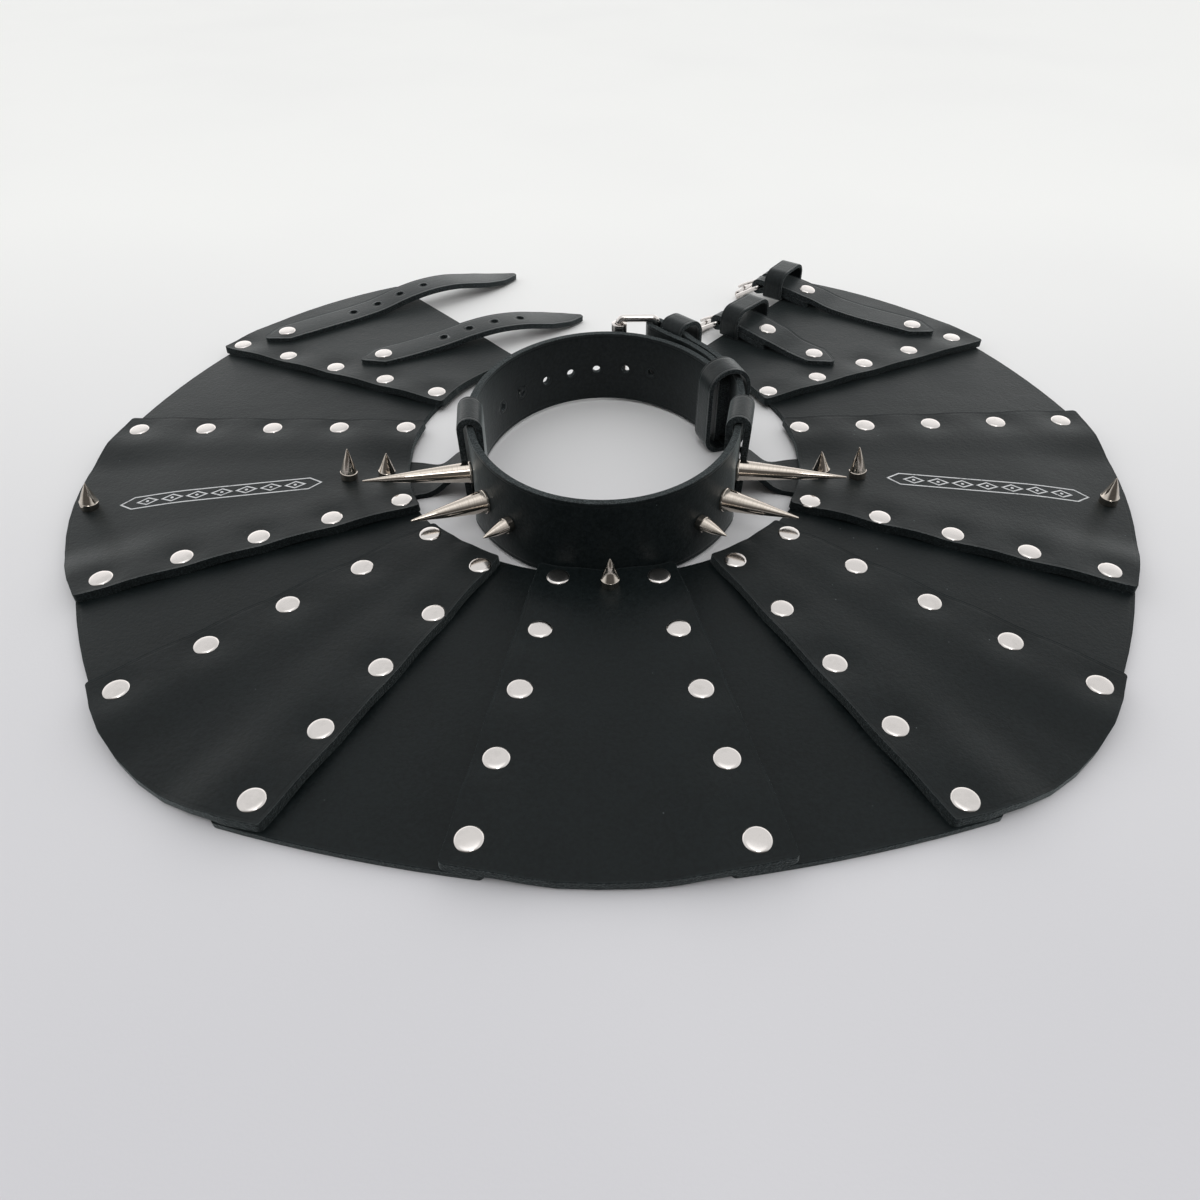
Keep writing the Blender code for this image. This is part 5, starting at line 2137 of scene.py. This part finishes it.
    def _keeper(self, shop: Workshop) -> None:
        """The wide keeper behind the buckle.

        Args:
            shop: makes the piece.
        """
        far_side = heading_vector(self.heading - 90.0) * self.keeper_shift
        matrix = loop_matrix(self.bar + far_side, self.heading)
        sense = 1.0 if Vector(matrix.col[2][:3]).dot(heading_vector(self.heading)) > 0.0 else -1.0
        first, last = sorted(sense * u for u in self.keeper_u)
        loop = Loop(f"strap_keeper_{self.word}", self.keeper_half, self.keeper_low, self.keeper_top,
                    self.keeper_wall, self.keeper_corner, (first, last))
        loop.build(shop, matrix)

    def _buckle(self, shop: Workshop) -> None:
        """The frame, its roller and its prong, hanging from the bar.

        Args:
            shop: makes the pieces.
        """
        along = heading_vector(self.heading)
        tilt = math.asin((self.fold_z - self.roller_z) / self.reach)
        down = Vector((0.0, 0.0, -1.0))
        reach_axis = along * math.cos(tilt) + down * math.sin(tilt)
        up = along * math.sin(tilt) - down * math.cos(tilt)
        matrix = place(self.bar, reach_axis, up)
        half = self.frame_half
        corners = [(0.0, -half), (self.reach, -half), (self.reach, half), (0.0, half)]
        path = [Vector((u, w, 0.0)) for u, w in rounded(corners, (self.corner,) * 4, 8)]
        shop.wire_piece(path, self.wire, True, matrix, f"strap_buckle_{self.word}_wire",
                        f"closure_buckle_{self.word}", [f"strap_buckle_{self.word}"])
        spot = self.bar + reach_axis * self.reach
        tube = roller_profile(*self.roller, -self.roller_half, self.roller_half)
        across = place(spot, reach_axis, up.cross(reach_axis))
        shop.metal_piece(shop.turned(tube, self.roller_steps), [across], f"strap_roller_{self.word}_tube",
                         f"closure_roller_{self.word}", [f"strap_roller_{self.word}"])
        lift = self.roller[1] + self.prong_wire + PRONG_CLEARANCE
        turn = Matrix(((1.0, 0.0, 0.0), (0.0, 0.0, 1.0), (0.0, 1.0, 0.0))).to_4x4()
        path = prong_path(self.prong_ring, lift, self.reach)
        shop.wire_piece(path, self.prong_wire, False, matrix @ turn, f"strap_prong_{self.word}_tooth",
                        f"closure_prong_{self.word}", [f"strap_prong_{self.word}"], sides=12)


@dataclass
class Closure:
    """The two straps on each side of the open back."""

    rivets: Rivets
    tongues: tuple[Tongue, ...] = (
        Tongue(name="tongue_strap_outer", rivet=(-189.5, 111.6), heading=36.5, taper=134.0, tip=161.0,
               holes=(43.0, 59.5, 75.4, 92.3),
               knots=((-20.0, 8.1), (25.0, 8.1), (43.0, 8.1), (60.0, 9.0), (75.0, 11.3), (92.0, 12.6),
                      (110.0, 11.5), (130.0, 7.2), (150.0, 3.2), (164.0, 1.9))),
        Tongue(name="tongue_strap_inner", rivet=(-126.5, 82.5), heading=27.9, taper=104.0, tip=128.0,
               holes=(37.0, 53.3, 69.3, 85.8),
               knots=((-20.0, 8.1), (15.0, 8.1), (37.0, 9.5), (53.0, 11.3), (69.0, 11.9), (86.0, 10.2),
                      (105.0, 6.0), (120.0, 3.2), (131.0, 2.0))),
    )
    straps: tuple[BuckleStrap, ...] = (
        BuckleStrap(word="outer", rivet=(185.8, 113.6), heading=143.5, length=99.8, flare=0.0,
                    keeper_half=14.6, keeper_shift=2.6, keeper_top=23.4),
        BuckleStrap(word="inner", rivet=(120.5, 78.8), heading=137.0, length=62.5, flare=1.7,
                    keeper_half=16.2, keeper_shift=3.0, keeper_top=23.8),
    )

    def build(self, shop: Workshop) -> None:
        """Makes every strap.

        Args:
            shop: makes the pieces.
        """
        for tongue in self.tongues:
            tongue.build(shop, self.rivets)
        for strap in self.straps:
            strap.build(shop, self.rivets)


# ---------------------------------------------------------------------- the studio


@dataclass
class Studio:
    """The pale surface, the soft lights and the camera."""

    camera_at: tuple[float, float, float] = (0.0, -378.0 + MANTLE_Y, 246.2)
    pitch: float = 42.97
    roll: float = -0.46
    lens: float = 25.98
    shift: Point = (-0.0045, -0.0029)
    bright: Colour = (0.91, 0.915, 0.92)
    overhead: Colour = (1.62, 1.63, 1.64)
    glow: Colour = (1.60, 1.59, 1.58)
    dim: Colour = (0.12, 0.115, 0.11)
    overhead_ramp: Ramp = Ramp(0.88, 9.0)
    glow_ahead: Ramp = Ramp(0.15, 1.6)
    glow_below: Ramp = Ramp(-0.62, 2.6)
    dim_behind: Ramp = Ramp(0.30, 2.4)
    dim_below: Ramp = Ramp(-0.90, 4.0)
    lamp_at: tuple[float, float, float] = (0.15, -0.75, 1.05)
    lamp_size: Point = (0.35, 0.25)
    lamp_power: float = 1.6

    def build(self) -> None:
        """Sets everything up round the gorget."""
        bpy.context.scene.view_settings.view_transform = "Standard"
        self._surface()
        self._room()
        self._lamp()
        self._camera()

    def _surface(self) -> None:
        """The surface under the gorget."""
        work = bmesh.new()
        bmesh.ops.create_grid(work, x_segments=1, y_segments=1, size=4.0)
        data = bpy.data.meshes.new("surface")
        work.to_mesh(data)
        work.free()
        floor = bpy.data.objects.new("surface", data)
        floor.location.z = -0.0001
        data.materials.append(SurfaceFinish().make())
        bpy.context.scene.collection.objects.link(floor)

    def _room(self) -> None:
        """The even light of a pale room that is dim behind the camera."""
        graph = Graph(bpy.data.worlds.new("room"))
        where = graph.node("ShaderNodeTexCoord", output="Generated")
        ahead = graph.node("ShaderNodeSeparateXYZ", None, {0: where}, "Y")
        above = graph.node("ShaderNodeSeparateXYZ", None, {0: where}, "Z")
        behind = graph.ramp(-ahead, self.dim_behind) * graph.ramp(-above, self.dim_below)
        beyond = graph.ramp(ahead, self.glow_ahead) * graph.ramp(-above, self.glow_below)
        light = graph.blend(beyond, self.bright, self.glow)
        light = graph.blend(graph.ramp(above, self.overhead_ramp), light, self.overhead)
        light = graph.blend(behind, light, self.dim)
        bpy.context.scene.world = graph.close(graph.node("ShaderNodeBackground", None, {"Color": light}))

    def _lamp(self) -> None:
        """One soft rectangular lamp in front, aimed at the middle of the gorget."""
        lamp = bpy.data.lights.new("front_fill", "AREA")
        lamp.shape = "RECTANGLE"
        lamp.size, lamp.size_y = self.lamp_size
        lamp.energy = self.lamp_power
        item = bpy.data.objects.new("front_fill", lamp)
        item.location = self.lamp_at
        item.rotation_euler = (-Vector(self.lamp_at)).to_track_quat("-Z", "Y").to_euler()
        bpy.context.scene.collection.objects.link(item)

    def _camera(self) -> None:
        """The camera at the viewing angle."""
        data = bpy.data.cameras.new("camera")
        data.lens = self.lens
        data.sensor_width = 36.0
        data.shift_x, data.shift_y = self.shift
        data.clip_start = 0.01
        data.clip_end = 20.0
        item = bpy.data.objects.new("camera", data)
        tilt = Matrix.Rotation(math.radians(90.0 - self.pitch), 4, "X")
        turn = Matrix.Rotation(math.radians(self.roll), 4, "Z")
        item.matrix_world = Matrix.Translation(Vector(self.camera_at) * MM) @ tilt @ turn
        bpy.context.scene.collection.objects.link(item)
        bpy.context.scene.camera = item


def corners(box: tuple[Vector, Vector]) -> list[list[float]]:
    """A box's two corners as plain lists."""
    return [[float(value) for value in corner] for corner in box]


def main() -> None:
    """Builds the gorget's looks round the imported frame."""
    logging.basicConfig(level=logging.INFO, format="%(name)s: %(message)s")
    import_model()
    straps = LeatherFinish(
        name="strap_leather",
        dark=(0.0048, 0.0072, 0.0078),
        light=(0.0105, 0.0145, 0.0155),
        # The raw cut edges are lighter here than on the plates: partly the raw fibres, partly painted light
        # from the bright surface below.
        cut=(0.0135, 0.0170, 0.0180),
        fibre=(0.055, 0.066, 0.069),
        roughness=0.36,
        groove=0.35,
    )
    shop = Workshop(
        leather=LeatherFinish("black_leather").make(),
        strap_leather=straps.make(),
        nickel=NickelFinish("nickel_plate").make(),
        turned_nickel=TurnedFinish("turned_nickel").make(),
        paint=PaintFinish("white_print").make(),
    )
    rivets = Rivets()
    collar = Collar()
    for part in (Mantle(rivets), collar, CollarLoops(collar), Closure(rivets)):
        before = len(shop.made)
        part.build(shop)
        LOG.info("%s: %d pieces", type(part).__name__, len(shop.made) - before)
    Studio().build()


if __name__ == "__main__":
    main()
